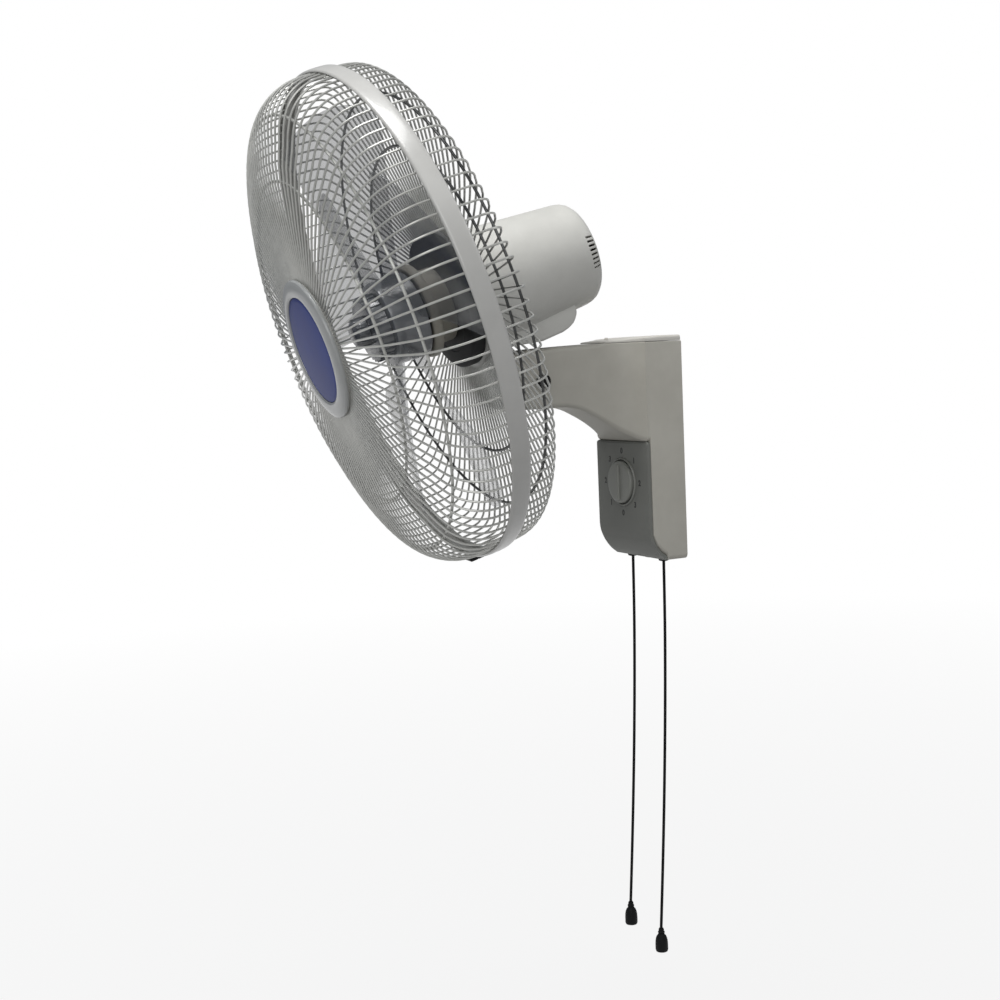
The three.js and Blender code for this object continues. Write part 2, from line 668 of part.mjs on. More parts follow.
// ---------------------------------------------------------------- motor parts
const frontBearing = motorFront + 1;
const coverBack = motorFront - gap;
const coverFront = coverBack - coverThickness;
const neckFront = nutFront + 3;
piece('motor_front_cover', turned([
  [shaftRadius + 1.5, coverFront - 3], [rearHubBore - 5, coverFront - 3],
  [rearHubBore - 5, neckFront], [rearHubBore - gap, neckFront],
  [rearHubBore - gap, coverFront], [motorFrontRadius - 0.6, coverFront],
  [motorFrontRadius - 0.6, coverBack], [bearingRadius + 3, coverBack],
  [bearingRadius + 3, frontBearing + bearingWidth + 1],
  [bearingRadius + gap, frontBearing + bearingWidth + 1],
  [bearingRadius + gap, frontBearing - gap], [shaftRadius + 1.5, frontBearing - gap],
], 28), darkPlastic, head);
piece('front_bearing', washer(shaftRadius + gap, bearingRadius, frontBearing,
  frontBearing + bearingWidth, 16), steel, head);
const rearBearing = motorRear - motorWall - 12;
piece('rear_bearing', washer(shaftRadius + gap, bearingRadius, rearBearing + 0.7,
  rearBearing + bearingWidth, 16), steel, head);
const statorSeat = (depth) => motorFrontRadius - motorWall
  - ((depth - motorFront) * (motorFrontRadius - motorRearRadius))
  / (motorRear - motorEdge - 2 - motorFront);
piece('stator', cut(
  join(washer(rotorRadius + 1, statorRadius, statorFront, statorRear, 20),
    ...[45, 135].map((turn) => box(2 * statorSeat(statorFront + 6) - 2.2, 8, 8, 0,
      statorFront + 6, 0).rotateY(radians(turn)))),
  rod('y', rotorRadius + 1, statorFront - 1, statorRear + 1, [0, 0], 20),
), copper, head);
piece('rotor', washer(shaftRadius + gap, rotorRadius, statorFront + 4, statorRear - 4, 20),
  steel, head);

// The worm wheel's spindle turns the crank disc in the gear case.
const crankTop = -gearDrop + motorWall + 8;
const plateLow = crankTop + 1.5;
piece('gear_plate', cut(
  box(2 * (gearHalfWidth - motorWall - gap), 22, 2.4, 0, wheelBehindRim - 3, plateLow + 1.2),
  rod('z', 2.8, plateLow - 1, plateLow + 4, [wheelAside, wheelBehindRim], 12),
), steel, head);
piece('worm_wheel', join(
  rod('z', wheelRadius, -3.5, 3.5, [wheelAside, wheelBehindRim], 16),
  rod('z', 2.5, crankTop - 1, 0, [wheelAside, wheelBehindRim], 12),
  rod('z', crankRadius, crankTop - 2.6, crankTop, [wheelAside, wheelBehindRim], 16),
), brass, head);

// -------------------------------------------------------------- guard, front
const frontRoute = [
  [rimWall + 2, guardRadius], [-16, guardRadius - 1], [-34, guardRadius - 10],
  [-45, guardRadius - shoulderInset], [-58.2, frontRingRadii[1]],
  [guardHubFace - 0.2, badgeRadius - 6],
];
const frontHub = washer(badgeRadius - 12, badgeRadius - 1, guardHubFace - 1.2, guardHubFace + 1.2,
  wireCount / 2);
const edgeInner = guardRadius - 1.2;
const edgeOuter = rimOuter - rimWall - gap;
const frontEdgeDepth = rimWall + 2 * gap;
const frontEdge = washer(edgeInner, edgeOuter, frontEdgeDepth, frontEdgeDepth + edgeThickness,
  wireCount);
piece('front_guard', join(frontHub, frontEdge, ...around(wire(frontRoute, wireRadius), wireCount)),
  wirePaint, head);

// Depth of a guard's wires at a radius, along its route.
function routeDepth(route, radius) {
  for (let i = 1; i < route.length; i += 1) {
    const [[y0, r0], [y1, r1]] = [route[i - 1], route[i]];
    if (radius <= r0 && radius >= r1) return y0 + ((y1 - y0) * (r0 - radius)) / (r0 - r1);
  }
  return route[route.length - 1][0];
}
const ringOffset = wireRadius / 2 + ringWireRadius * 0.87 + 2 * gap;
frontRingRadii.forEach((radius, i) => {
  const ring = hoop(radius, routeDepth(frontRoute, radius) + ringOffset, ringWireRadius);
  piece(['front_ring_outer', 'front_ring_inner'][i], ring, wirePaint, head);
});

// The badge: a bright bezel round a plain coloured disc.
const bezelInner = badgeRadius - badgeBezelWidth;
piece('badge_bezel', turned([
  [bezelInner - 2, guardHubFace - 1.5], [badgeRadius, guardHubFace - 1.5],
  [badgeRadius, badgeFace + 0.6], [badgeRadius - 3, badgeFace - 1.6],
  [bezelInner + 2, badgeFace - 3], [bezelInner + gap, badgeFace - 1.8],
  [bezelInner + gap, guardHubFace - 3.2], [bezelInner - 2, guardHubFace - 3.2],
], 36), bezelSilver, head);
piece('badge_disc', turned([
  [0, guardHubFace - 3.5], [bezelInner, guardHubFace - 3.5], [bezelInner, badgeFace - 1.6],
  [bezelInner * 0.6, badgeFace - 3.2], [0, badgeFace - 3.8],
], 36), badgeBlue, head);

// --------------------------------------------------------------- guard, rear
const rearRoute = [
  [rimWidth - rimWall - 2, guardRadius], [38, guardRadius - 1.8], [49, guardRadius - 10.4],
  [52.9, rearRingRadii[0]], [60, rearRingRadii[1]], [rearHubDepth - 1, rearHubRadius - 6],
];
const rearHub = washer(rearHubBore, rearHubRadius, rearHubDepth - 2.2, rearHubDepth, wireCount / 2);
const rearEdgeDepth = rimWidth - rimWall - 2 * gap;
const rearEdge = washer(edgeInner, edgeOuter, rearEdgeDepth - edgeThickness, rearEdgeDepth,
  wireCount);
piece('rear_guard', join(rearHub, rearEdge, ...around(wire(rearRoute, wireRadius), wireCount)),
  wirePaint, head);
rearRingRadii.forEach((radius, i) => {
  const ring = hoop(radius, routeDepth(rearRoute, radius) - ringOffset, ringWireRadius);
  piece(['rear_ring_outer', 'rear_ring_inner'][i], ring, darkWire, head);
});
const clampBack = rearHubDepth - 2.2 - gap;
piece('guard_clamp', turned([
  [rearHubBore, clampBack], [rearHubBore + 8, clampBack], [rearHubBore + 8, clampFront + 3.2],
  [clampRadius - 5, clampFront + 3.2], [clampRadius - 5, clampBack], [clampRadius, clampBack],
  [clampRadius, clampFront + 2.5], [clampRadius - 2.5, clampFront], [rearHubBore, clampFront],
], 28), darkPlastic, head);
const nutBack = clampFront - gap;
piece('guard_nut', turned([
  [rearHubBore, nutBack], [nutRadius - 9, nutBack], [nutRadius - 9, nutFront + 9], [nutRadius, nutFront + 8],
  [nutRadius - 0.6, nutFront + 2], [nutRadius - 2.6, nutFront], [nutRadius - 5, nutFront],
  [nutRadius - 5.4, nutFront + 5], [rearHubBore + 3, nutFront + 5], [rearHubBore + 3, nutFront + 4],
  [rearHubBore, nutFront + 4],
], 28), cream, head);

// ---------------------------------------------------------------------- rim
piece('rim_band', turned([
  [rimLip, 0], [rimOuter - 1.6, 0], [rimOuter, 2.4], [rimOuter, rimWidth - 2.4],
  [rimOuter - 1.6, rimWidth], [rimLip, rimWidth], [rimLip, rimWidth - rimWall],
  [rimOuter - rimWall, rimWidth - rimWall], [rimOuter - rimWall, rimWall],
  [rimLip, rimWall],
], wireCount), rimGrey, head);
piece('rim_clamp', box(clampWidth, rimWidth - 5, clampHeight, 0, rimWidth / 2,
  -rimOuter - gap - clampHeight / 2), darkPlastic, head);

// ---------------------------------------------------------------- fan blade
// A blade is a twisted sheet between its front edge and its back edge.
function blade() {
  const rows = 4;
  const columns = 4;
  const loops = [];
  for (let i = 0; i <= rows; i += 1) {
    const share = i / rows;
    const radius = bladeRoot + (bladeTip - bladeRoot) * share;
    const start = radians(-bladeSpread / 2);
    const spread = radians(bladeSpread * (0.86 + 0.14 * share));
    const front = rootFront + (bladeFront - rootFront) * share;
    const depth = rootDepth + (bladeDepth - rootDepth) * share;
    const loop = [];
    for (let k = 0; k <= columns; k += 1) {
      const across = k / columns;
      loop.push([across, bladeThickness / 2]);
    }
    for (let k = columns; k >= 0; k -= 1) loop.push([k / columns, -bladeThickness / 2]);
    loops.push(loop.map(([across, lift]) => {
      const turn = start + spread * across;
      const rise = depth * (1 - (1 - across) ** 1.4);
      return new THREE.Vector3(radius * Math.sin(turn), front + rise + lift,
        radius * Math.cos(turn));
    }));
  }
  return stacked(loops);
}
const bossRound = 11;
const bossRear = hubRear - 3;
const hubBody = turned([
  [shaftRadius + gap, collarFront], [collarRadius - 2, collarFront], [collarRadius, collarFront + 3],
  [collarRadius, hubFront], [hubRadius - 1.5, hubFront], [hubRadius, hubFront + 3],
  [hubRadius + 1, hubRear], [hubRadius - 1.5, hubRear], [hubRadius - 3, hubFront + 5],
  [bossRound, hubFront + 5], [bossRound, bossRear], [shaftRadius + gap, bossRear],
], 22);
const pinSlot = box(2 * bossRound + 2, 2 * (drivePinRadius + gap) + 1, 2 * (drivePinRadius + gap), 0,
  bossRear - drivePinRadius - gap + 0.5, 0);
const fanFrame = new THREE.Group();
fanFrame.rotation.y = radians(bladePhase);
head.add(fanFrame);
piece('fan_blade', cut(join(hubBody, ...around(blade(), bladeCount)),
  rod('y', shaftRadius + gap, collarFront - 2, hubRear + 2, [0, 0], 16), pinSlot,
  washer(bossRound + 0.2, hubRadius - 3.2, hubFront + 5.1, hubRear + 9, 20)), smokyBlade, fanFrame);
piece('drive_pin', rod('x', drivePinRadius, -bossRound + 0.5, bossRound - 0.5,
  [bossRear - drivePinRadius - gap, 0], 10), steel, fanFrame);
piece('motor_shaft', cut(
  rod('y', shaftRadius, collarFront - 8, rearBearing + bearingWidth - 1, [0, 0]),
  rod('x', drivePinRadius + gap, -shaftRadius - 1, shaftRadius + 1,
    [bossRear - drivePinRadius - gap, 0], 10),
), steel, fanFrame);
piece('spinner_nut', cut(
  turned([[0, -spinnerLength], [spinnerRadius - 4, -spinnerLength], [spinnerRadius - 1, -spinnerLength + 3],
    [spinnerRadius, -gap], [0, -gap]], 16).translate(0, collarFront, 0),
  rod('y', shaftRadius + gap, collarFront - 8.4, collarFront + 1, [0, 0], 16),
), smokyBlade, fanFrame);

export default fan;
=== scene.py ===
import math

import bpy
from mathutils import Matrix, Vector


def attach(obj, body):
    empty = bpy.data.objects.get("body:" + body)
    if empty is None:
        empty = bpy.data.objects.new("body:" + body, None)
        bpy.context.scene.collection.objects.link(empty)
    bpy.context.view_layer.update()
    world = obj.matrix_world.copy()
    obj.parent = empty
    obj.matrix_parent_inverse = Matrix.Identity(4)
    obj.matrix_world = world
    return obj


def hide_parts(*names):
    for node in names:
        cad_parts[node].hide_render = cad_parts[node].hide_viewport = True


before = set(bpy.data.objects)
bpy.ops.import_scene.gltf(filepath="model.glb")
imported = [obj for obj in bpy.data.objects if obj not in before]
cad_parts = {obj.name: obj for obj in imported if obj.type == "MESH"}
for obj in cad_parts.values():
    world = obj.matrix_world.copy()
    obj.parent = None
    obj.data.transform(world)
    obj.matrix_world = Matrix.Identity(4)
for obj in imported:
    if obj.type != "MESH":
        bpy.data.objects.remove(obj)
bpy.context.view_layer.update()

scene = bpy.context.scene
scene.view_settings.view_transform = "Standard"
bpy.ops.object.select_all(action="DESELECT")

# The head is drawn untilted, with y as the depth behind the rim's front edge, and then moved here.
tiltPlace = (Matrix.Translation((0, -0.197281, 0.153166))
             @ Matrix.Rotation(math.radians(17.66), 4, "X"))
neckPlace = tiltPlace @ Matrix.Translation((0, -0.0866, 0))
headPlace = tiltPlace @ Matrix.Rotation(math.radians(-5.31), 4, "Z") @ Matrix.Translation((0, -0.0866, 0))


def mm(*values):
    return tuple(value * 0.001 for value in values)


# ---- working helpers ----

def onlySelect(piece):
    bpy.ops.object.select_all(action="DESELECT")
    piece.select_set(True)
    bpy.context.view_layer.objects.active = piece


def named(piece, name):
    piece.name = name
    piece.data.name = name
    return piece


def fromPoints(name, points, edges=(), faces=()):
    mesh = bpy.data.meshes.new(name)
    mesh.from_pydata([mm(*point) for point in points], edges, faces)
    piece = bpy.data.objects.new(name, mesh)
    scene.collection.objects.link(piece)
    return piece


def editAll(piece, *steps):
    onlySelect(piece)
    bpy.ops.object.mode_set(mode="EDIT")
    bpy.ops.mesh.select_all(action="SELECT")
    for step in steps:
        step()
    bpy.ops.object.mode_set(mode="OBJECT")
    return piece


def tidyFaces():
    bpy.ops.mesh.remove_doubles(threshold=0.00001)
    bpy.ops.mesh.normals_make_consistent(inside=False)


def applied(piece, kind, **settings):
    onlySelect(piece)
    modifier = piece.modifiers.new(kind.title(), kind)
    for key, value in settings.items():
        setattr(modifier, key, value)
    bpy.ops.object.modifier_apply(modifier=modifier.name)
    return piece


def softEdges(piece, width, segments=2, angle=35):
    return applied(piece, "BEVEL", width=width * 0.001, segments=segments, limit_method="ANGLE",
                   angle_limit=math.radians(angle), harden_normals=False)


def cutWith(piece, *tools, operation="DIFFERENCE"):
    for tool in tools:
        applied(piece, "BOOLEAN", operation=operation, solver="EXACT", object=tool)
        bpy.data.objects.remove(tool, do_unlink=True)
    return piece


def merged(name, pieces):
    bpy.ops.object.select_all(action="DESELECT")
    for piece in pieces:
        piece.select_set(True)
    bpy.context.view_layer.objects.active = pieces[0]
    bpy.ops.object.join()
    return named(pieces[0], name)


def block(name, low, high):
    bpy.ops.mesh.primitive_cube_add(size=1)
    piece = named(bpy.context.object, name)
    for vertex in piece.data.vertices:
        vertex.co = Vector(mm(*(low[k] if vertex.co[k] < 0 else high[k] for k in range(3))))
    return piece


def barrel(name, axis, radius, start, end, across=(0, 0), sides=48):
    turn = {"X": (0, math.pi / 2, 0), "Y": (math.pi / 2, 0, 0), "Z": (0, 0, 0)}[axis]
    place = {"X": ((start + end) / 2, across[0], across[1]),
             "Y": (across[0], (start + end) / 2, across[1]),
             "Z": (across[0], across[1], (start + end) / 2)}[axis]
    bpy.ops.mesh.primitive_cylinder_add(vertices=sides, radius=radius * 0.001,
                                        depth=abs(end - start) * 0.001, location=mm(*place), rotation=turn)
    piece = named(bpy.context.object, name)
    bpy.ops.object.transform_apply(location=True, rotation=True, scale=True)
    return piece


# Turns a list of (radius, depth) round the head's axis.
def turned(name, profile, steps=96, closedLoop=True):
    count = len(profile)
    edges = [(i, (i + 1) % count) for i in range(count if closedLoop else count - 1)]
    piece = fromPoints(name, [(radius, depth, 0) for radius, depth in profile], edges)
    return editAll(piece, lambda: bpy.ops.mesh.spin(
        steps=steps, angle=2 * math.pi, center=(0, 0, 0), axis=(0, 1, 0)), tidyFaces)


# An outline in y and z, drawn out across x.
def acrossX(name, outline, start, end):
    count = len(outline)
    points = [(start, y, z) for y, z in outline] + [(end, y, z) for y, z in outline]
    faces = [(k, (k + 1) % count, (k + 1) % count + count, k + count) for k in range(count)]
    faces += [tuple(range(count)), tuple(range(2 * count - 1, count - 1, -1))]
    return editAll(fromPoints(name, points, (), faces), tidyFaces)


# Loops of points with a skin between them and a face over each end.
def skinned(name, loops):
    count = len(loops[0])
    faces = []
    for i in range(len(loops) - 1):
        for k in range(count):
            a, b = i * count + k, i * count + (k + 1) % count
            faces.append((a, b, b + count, a + count))
    last = (len(loops) - 1) * count
    faces += [tuple(range(count)), tuple(range(last + count - 1, last - 1, -1))]
    return editAll(fromPoints(name, [point for loop in loops for point in loop], (), faces), tidyFaces)


# A smooth line through points, with a few steps between each two of them.
def smoothRoute(points, steps=6):
    ends = [points[0]] + list(points) + [points[-1]]
    route = []
    for i in range(1, len(ends) - 2):
        for k in range(steps):
            t = k / steps
            route.append(tuple(0.5 * (2 * b + (c - a) * t + (2 * a - 5 * b + 4 * c - d) * t * t
                                      + (3 * b - a - 3 * c + d) * t ** 3)
                               for a, b, c, d in zip(*ends[i - 1:i + 3])))
    return route + [tuple(points[-1])]


def wireAlong(name, route, radius, sides=2):
    bpy.ops.object.select_all(action="DESELECT")
    curve = bpy.data.curves.new(name, "CURVE")
    curve.dimensions = "3D"
    spline = curve.splines.new("POLY")
    spline.points.add(len(route) - 1)
    for point, place in zip(spline.points, route):
        point.co = (*mm(*place), 1)
    curve.bevel_depth = radius * 0.001
    curve.bevel_resolution = sides
    curve.use_fill_caps = True
    piece = bpy.data.objects.new(name, curve)
    scene.collection.objects.link(piece)
    onlySelect(piece)
    bpy.ops.object.convert(target="MESH")
    return editAll(bpy.context.object, tidyFaces)


# Copies a piece round the head's axis.
def ringOf(piece, count):
    bpy.ops.object.empty_add(rotation=(0, 2 * math.pi / count, 0))
    turn = bpy.context.object
    applied(piece, "ARRAY", count=count, use_relative_offset=False, use_object_offset=True,
            offset_object=turn)
    bpy.data.objects.remove(turn, do_unlink=True)
    return piece


def hoop(name, radius, depth, thickness):
    bpy.ops.mesh.primitive_torus_add(major_radius=radius * 0.001, minor_radius=thickness * 0.001,
                                     major_segments=144, minor_segments=8,
                                     location=mm(0, depth, 0), rotation=(math.pi / 2, 0, 0))
    bpy.ops.object.transform_apply(location=True, rotation=True, scale=True)
    return named(bpy.context.object, name)


# Gives a finished piece its place, its finish, the body that it rides on and the nodes it stands for.
def finished(piece, finish, body, nodes=(), place=None, smooth=30):
    if place is not None:
        piece.data.transform(place)
    onlySelect(piece)
    bpy.ops.object.shade_smooth_by_angle(angle=math.radians(smooth))
    piece.data.materials.clear()
    piece.data.materials.append(finish)
    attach(piece, body)
    if nodes:
        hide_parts(*nodes)
    return piece


# ---- finishes ----

def linear(hexColour):
    parts = [int(hexColour[i:i + 2], 16) / 255 for i in (1, 3, 5)]
    return (*(p / 12.92 if p <= 0.04045 else ((p + 0.055) / 1.055) ** 2.4 for p in parts), 1)


def addNode(tree, kind, settings=None, values=None, links=None):
    node = tree.nodes.new(kind)
    for key, value in (settings or {}).items():
        setattr(node, key, value)
    for key, value in (values or {}).items():
        node.inputs[key].default_value = value
    for key, source in (links or {}).items():
        tree.links.new(source, node.inputs[key])
    return node


def startFinish(name, **values):
    finish = bpy.data.materials.new(name)
    finish.use_nodes = True
    tree = finish.node_tree
    shader = tree.nodes["Principled BSDF"]
    for key, value in values.items():
        shader.inputs[key.replace("_", " ")].default_value = value
    place = addNode(tree, "ShaderNodeTexCoord").outputs["Object"]
    return finish, tree, shader, place


# Speckled colour between two hex shades, and a roughness that varies with it.
def mottle(tree, shader, place, light, dark, patchMm, rough):
    patches = addNode(tree, "ShaderNodeTexNoise", links={"Vector": place},
                      values={"Scale": 1000 / patchMm, "Detail": 4, "Roughness": 0.6})
    colours = addNode(tree, "ShaderNodeValToRGB", links={"Fac": patches.outputs["Fac"]})
    colours.color_ramp.elements[0].position, colours.color_ramp.elements[1].position = 0.35, 0.65
    colours.color_ramp.elements[0].color, colours.color_ramp.elements[1].color = linear(dark), linear(light)
    tree.links.new(colours.outputs["Color"], shader.inputs["Base Color"])
    shine = addNode(tree, "ShaderNodeMapRange", values={"To Min": rough[0], "To Max": rough[1]},
                    links={"Value": patches.outputs["Fac"]})
    tree.links.new(shine.outputs["Result"], shader.inputs["Roughness"])


def grain(tree, shader, place, grainMm, depthMm, strength=0.5):
    noise = addNode(tree, "ShaderNodeTexNoise", links={"Vector": place},
                    values={"Scale": 1000 / grainMm, "Detail": 2, "Roughness": 0.5})
    bump = addNode(tree, "ShaderNodeBump", values={"Strength": strength, "Distance": depthMm * 0.001},
                   links={"Height": noise.outputs["Fac"]})
    tree.links.new(bump.outputs["Normal"], shader.inputs["Normal"])


# ABS moulded against a spark-eroded steel mould: an even matt grain of about a third of a
# millimetre, drawn at 0.9 mm to show, with faint patches where it has been handled.
def mouldedAbs(name, light, dark, rough, grainMm=0.9, depthMm=0.05, specular=0.5):
    finish, tree, shader, place = startFinish(name, IOR=1.53, Specular_IOR_Level=specular)
    mottle(tree, shader, place, light, dark, 38, rough)
    grain(tree, shader, place, grainMm, depthMm, 0.35)
    return finish


# Polished moulding: a smooth skin with a slow ripple from the cooling plastic.
def polishedPlastic(name, light, dark, rough, coat, specular=0.5):
    finish, tree, shader, place = startFinish(name, IOR=1.5, Coat_Weight=coat, Coat_Roughness=0.08,
                                              Specular_IOR_Level=specular)
    mottle(tree, shader, place, light, dark, 60, rough)
    grain(tree, shader, place, 14, 0.05, 0.3)
    return finish


# Steel wire with baked powder paint: a smooth enamel-like skin with slight orange peel.
def powderCoatedWire(name, light, dark, metallic, rough):
    finish, tree, shader, place = startFinish(name, Metallic=metallic, Coat_Weight=0.35,
                                              Coat_Roughness=0.15)
    mottle(tree, shader, place, light, dark, 9, rough)
    grain(tree, shader, place, 1.6, 0.04, 0.4)
    return finish


# Smoke-tinted styrene, moulded clear: the wires behind show through it, and it shines at the edges.
def smokedStyrene(name, light, dark, alpha):
    finish, tree, shader, place = startFinish(name, IOR=1.57, Alpha=alpha, Coat_Weight=0.4,
                                              Coat_Roughness=0.06)
    mottle(tree, shader, place, light, dark, 90, (0.16, 0.26))
    grain(tree, shader, place, 22, 0.06, 0.25)
    return finish


# Steel sheet and turned steel with bright zinc: spangled patches and fine drawn lines.
def zincPlatedSteel(name):
    finish, tree, shader, place = startFinish(name, Metallic=1.0)
    mottle(tree, shader, place, "#B4B6B8", "#94979A", 6, (0.28, 0.44))
    lines = addNode(tree, "ShaderNodeTexWave", settings={"bands_direction": "Z"},
                    values={"Scale": 160, "Distortion": 3.0, "Detail": 2.0}, links={"Vector": place})
    bump = addNode(tree, "ShaderNodeBump", values={"Strength": 0.2, "Distance": 0.00002},
                   links={"Height": lines.outputs["Fac"]})
    tree.links.new(bump.outputs["Normal"], shader.inputs["Normal"])
    return finish


# Enamelled copper wire wound in layers: close ridges 0.7 mm apart under a clear varnish.
def enamelledWinding(name):
    finish, tree, shader, place = startFinish(name, Metallic=0.85, Coat_Weight=0.5, Coat_Roughness=0.2)
    mottle(tree, shader, place, "#B26A34", "#8A4A22", 4, (0.3, 0.5))
    turns = addNode(tree, "ShaderNodeTexWave", settings={"bands_direction": "Y"},
                    values={"Scale": 230, "Distortion": 1.0}, links={"Vector": place})
    bump = addNode(tree, "ShaderNodeBump", values={"Strength": 0.6, "Distance": 0.0002},
                   links={"Height": turns.outputs["Fac"]})
    tree.links.new(bump.outputs["Normal"], shader.inputs["Normal"])
    return finish


# Turned brass with rings left by the tool.
def turnedBrass(name):
    finish, tree, shader, place = startFinish(name, Metallic=1.0)
    mottle(tree, shader, place, "#C0A050", "#9C7F3A", 5, (0.25, 0.4))
    rings = addNode(tree, "ShaderNodeTexWave", settings={"wave_type": "RINGS", "rings_direction": "Z"},
                    values={"Scale": 300, "Distortion": 0.4}, links={"Vector": place})
    bump = addNode(tree, "ShaderNodeBump", values={"Strength": 0.25, "Distance": 0.00003},
                   links={"Height": rings.outputs["Fac"]})
    tree.links.new(bump.outputs["Normal"], shader.inputs["Normal"])
    return finish


# Black nylon braid, 2.8 mm thick: two sets of diagonal strands about 0.9 mm apart.
def braidedNylon(name):
    finish, tree, shader, place = startFinish(name, Specular_IOR_Level=0.2)
    mottle(tree, shader, place, "#101011", "#060607", 1.4, (0.6, 0.85))
    heights = []
    for slope in (1, -1):
        turn = addNode(tree, "ShaderNodeMapping", values={"Rotation": (0, slope * math.radians(38), 0)},
                       links={"Vector": place})
        strands = addNode(tree, "ShaderNodeTexWave", settings={"bands_direction": "Z"},
                          values={"Scale": 170, "Distortion": 0.3},
                          links={"Vector": turn.outputs["Vector"]})
        heights.append(strands.outputs["Fac"])
    weave = addNode(tree, "ShaderNodeMath", settings={"operation": "MAXIMUM"},
                    links={0: heights[0], 1: heights[1]})
    bump = addNode(tree, "ShaderNodeBump", values={"Strength": 0.8, "Distance": 0.0003},
                   links={"Height": weave.outputs["Value"]})
    tree.links.new(bump.outputs["Normal"], shader.inputs["Normal"])
    return finish


greyAbs = mouldedAbs("warmGreyAbs", "#BDBAB0", "#B5B2A8", (0.46, 0.6))
# The cover is the shell's warm grey plastic, made lighter here as painted light from above on its top face.
coverAbsPaintedLight = mouldedAbs("warmGreyAbsPaintedTopLight", "#D2CFC7", "#CAC7BF", (0.46, 0.6))
fasciaAbs = mouldedAbs("darkGreyAbs", "#797A75", "#71726D", (0.46, 0.6), specular=0.35)
dialAbs = mouldedAbs("midGreyAbs", "#8E8F89", "#868781", (0.42, 0.55))
nutAbs = mouldedAbs("greyBeigeAbs", "#A39F94", "#9B978C", (0.42, 0.56))
dullBlackAbs = mouldedAbs("dullBlackAbs", "#242526", "#1C1D1E", (0.5, 0.66), specular=0.25)
motorAbs = mouldedAbs("paleGreyAbs", "#CDCCC6", "#C5C4BE", (0.42, 0.56))
rimPlastic = polishedPlastic("paleGreyPolypropylene", "#C4C3BF", "#BBBAB6", (0.24, 0.34), 0.2)
wirePaint = powderCoatedWire("greyPowderCoatedWire", "#BEBEB9", "#B2B2AD", 0.3, (0.26, 0.38))
# The rear stiffener rings are the same grey wire, darkened here as painted shade for the shadow they lie in
# at the back of the guard.
wireShadedPaint = powderCoatedWire("greyWirePaintedShade", "#3E3F3E", "#343535", 0.2, (0.34, 0.48))
smokedBlade = smokedStyrene("smokedStyrene", "#6A6D70", "#5A5D60", 0.36)
smokedHub = smokedStyrene("smokedStyreneThick", "#7C7F83", "#5E6165", 0.8)
blackAbs = mouldedAbs("blackAbs", "#161718", "#101111", (0.5, 0.66), specular=0.15)
creamAbs = mouldedAbs("creamPolypropylene", "#DAD5C5", "#D0CBBA", (0.45, 0.6))
bezelLacquer = polishedPlastic("silverLacquer", "#ACAEAD", "#A0A2A1", (0.22, 0.3), 0.2)
badgePlastic = polishedPlastic("blueAcrylic", "#2A3F90", "#233682", (0.42, 0.5), 0, 0.2)
numberInk = mouldedAbs("padPrintedInk", "#1B1C1A", "#141513", (0.5, 0.65), 2.0, 0.02)
zincSteel = zincPlatedSteel("zincPlatedSteel")
winding = enamelledWinding("enamelledCopper")
brass = turnedBrass("turnedBrass")
nylonCord = braidedNylon("braidedNylon")
print("finishes ready")

# ---- camera ----

camera = {
    "place": (1.2377, -0.8293, 0.0913),
    "right": (0.46943, 0.88196, -0.04222),
    "up": (-0.06186, 0.08055, 0.99483),
    "back": (0.8808, -0.46439, 0.09237),
    "lens": 54.68,
}
lookout = bpy.data.cameras.new("camera")
lookout.lens = camera["lens"]
lookout.sensor_width = 36
lookout.clip_start = 0.01
lookoutPiece = bpy.data.objects.new("camera", lookout)
scene.collection.objects.link(lookoutPiece)
turnRows = Matrix((camera["right"], camera["up"], camera["back"])).transposed()
lookoutPiece.matrix_world = Matrix.Translation(camera["place"]) @ turnRows.to_4x4()
scene.camera = lookoutPiece
print("camera set")

# ---- pull cords ----

pull = {
    "apart": 54,
    "fromWall": 15.7,
    "top": -108.9,
    "eyelets": -106,
    "diameter": 2.8,
    "lean": 17,
    "lengths": {"speed": 350, "swing": 360.5},
    "bellRadius": 6.2,
    "bellLength": 22.4,
}


def cordRoute(x, length):
    points = []
    for i in range(7):
        share = i / 6
        points.append((x + 1.2 * math.sin(share * 3.1), -pull["fromWall"] - pull["lean"] * share ** 1.4,
                       pull["top"] - length * share))
    return smoothRoute(points, 4)


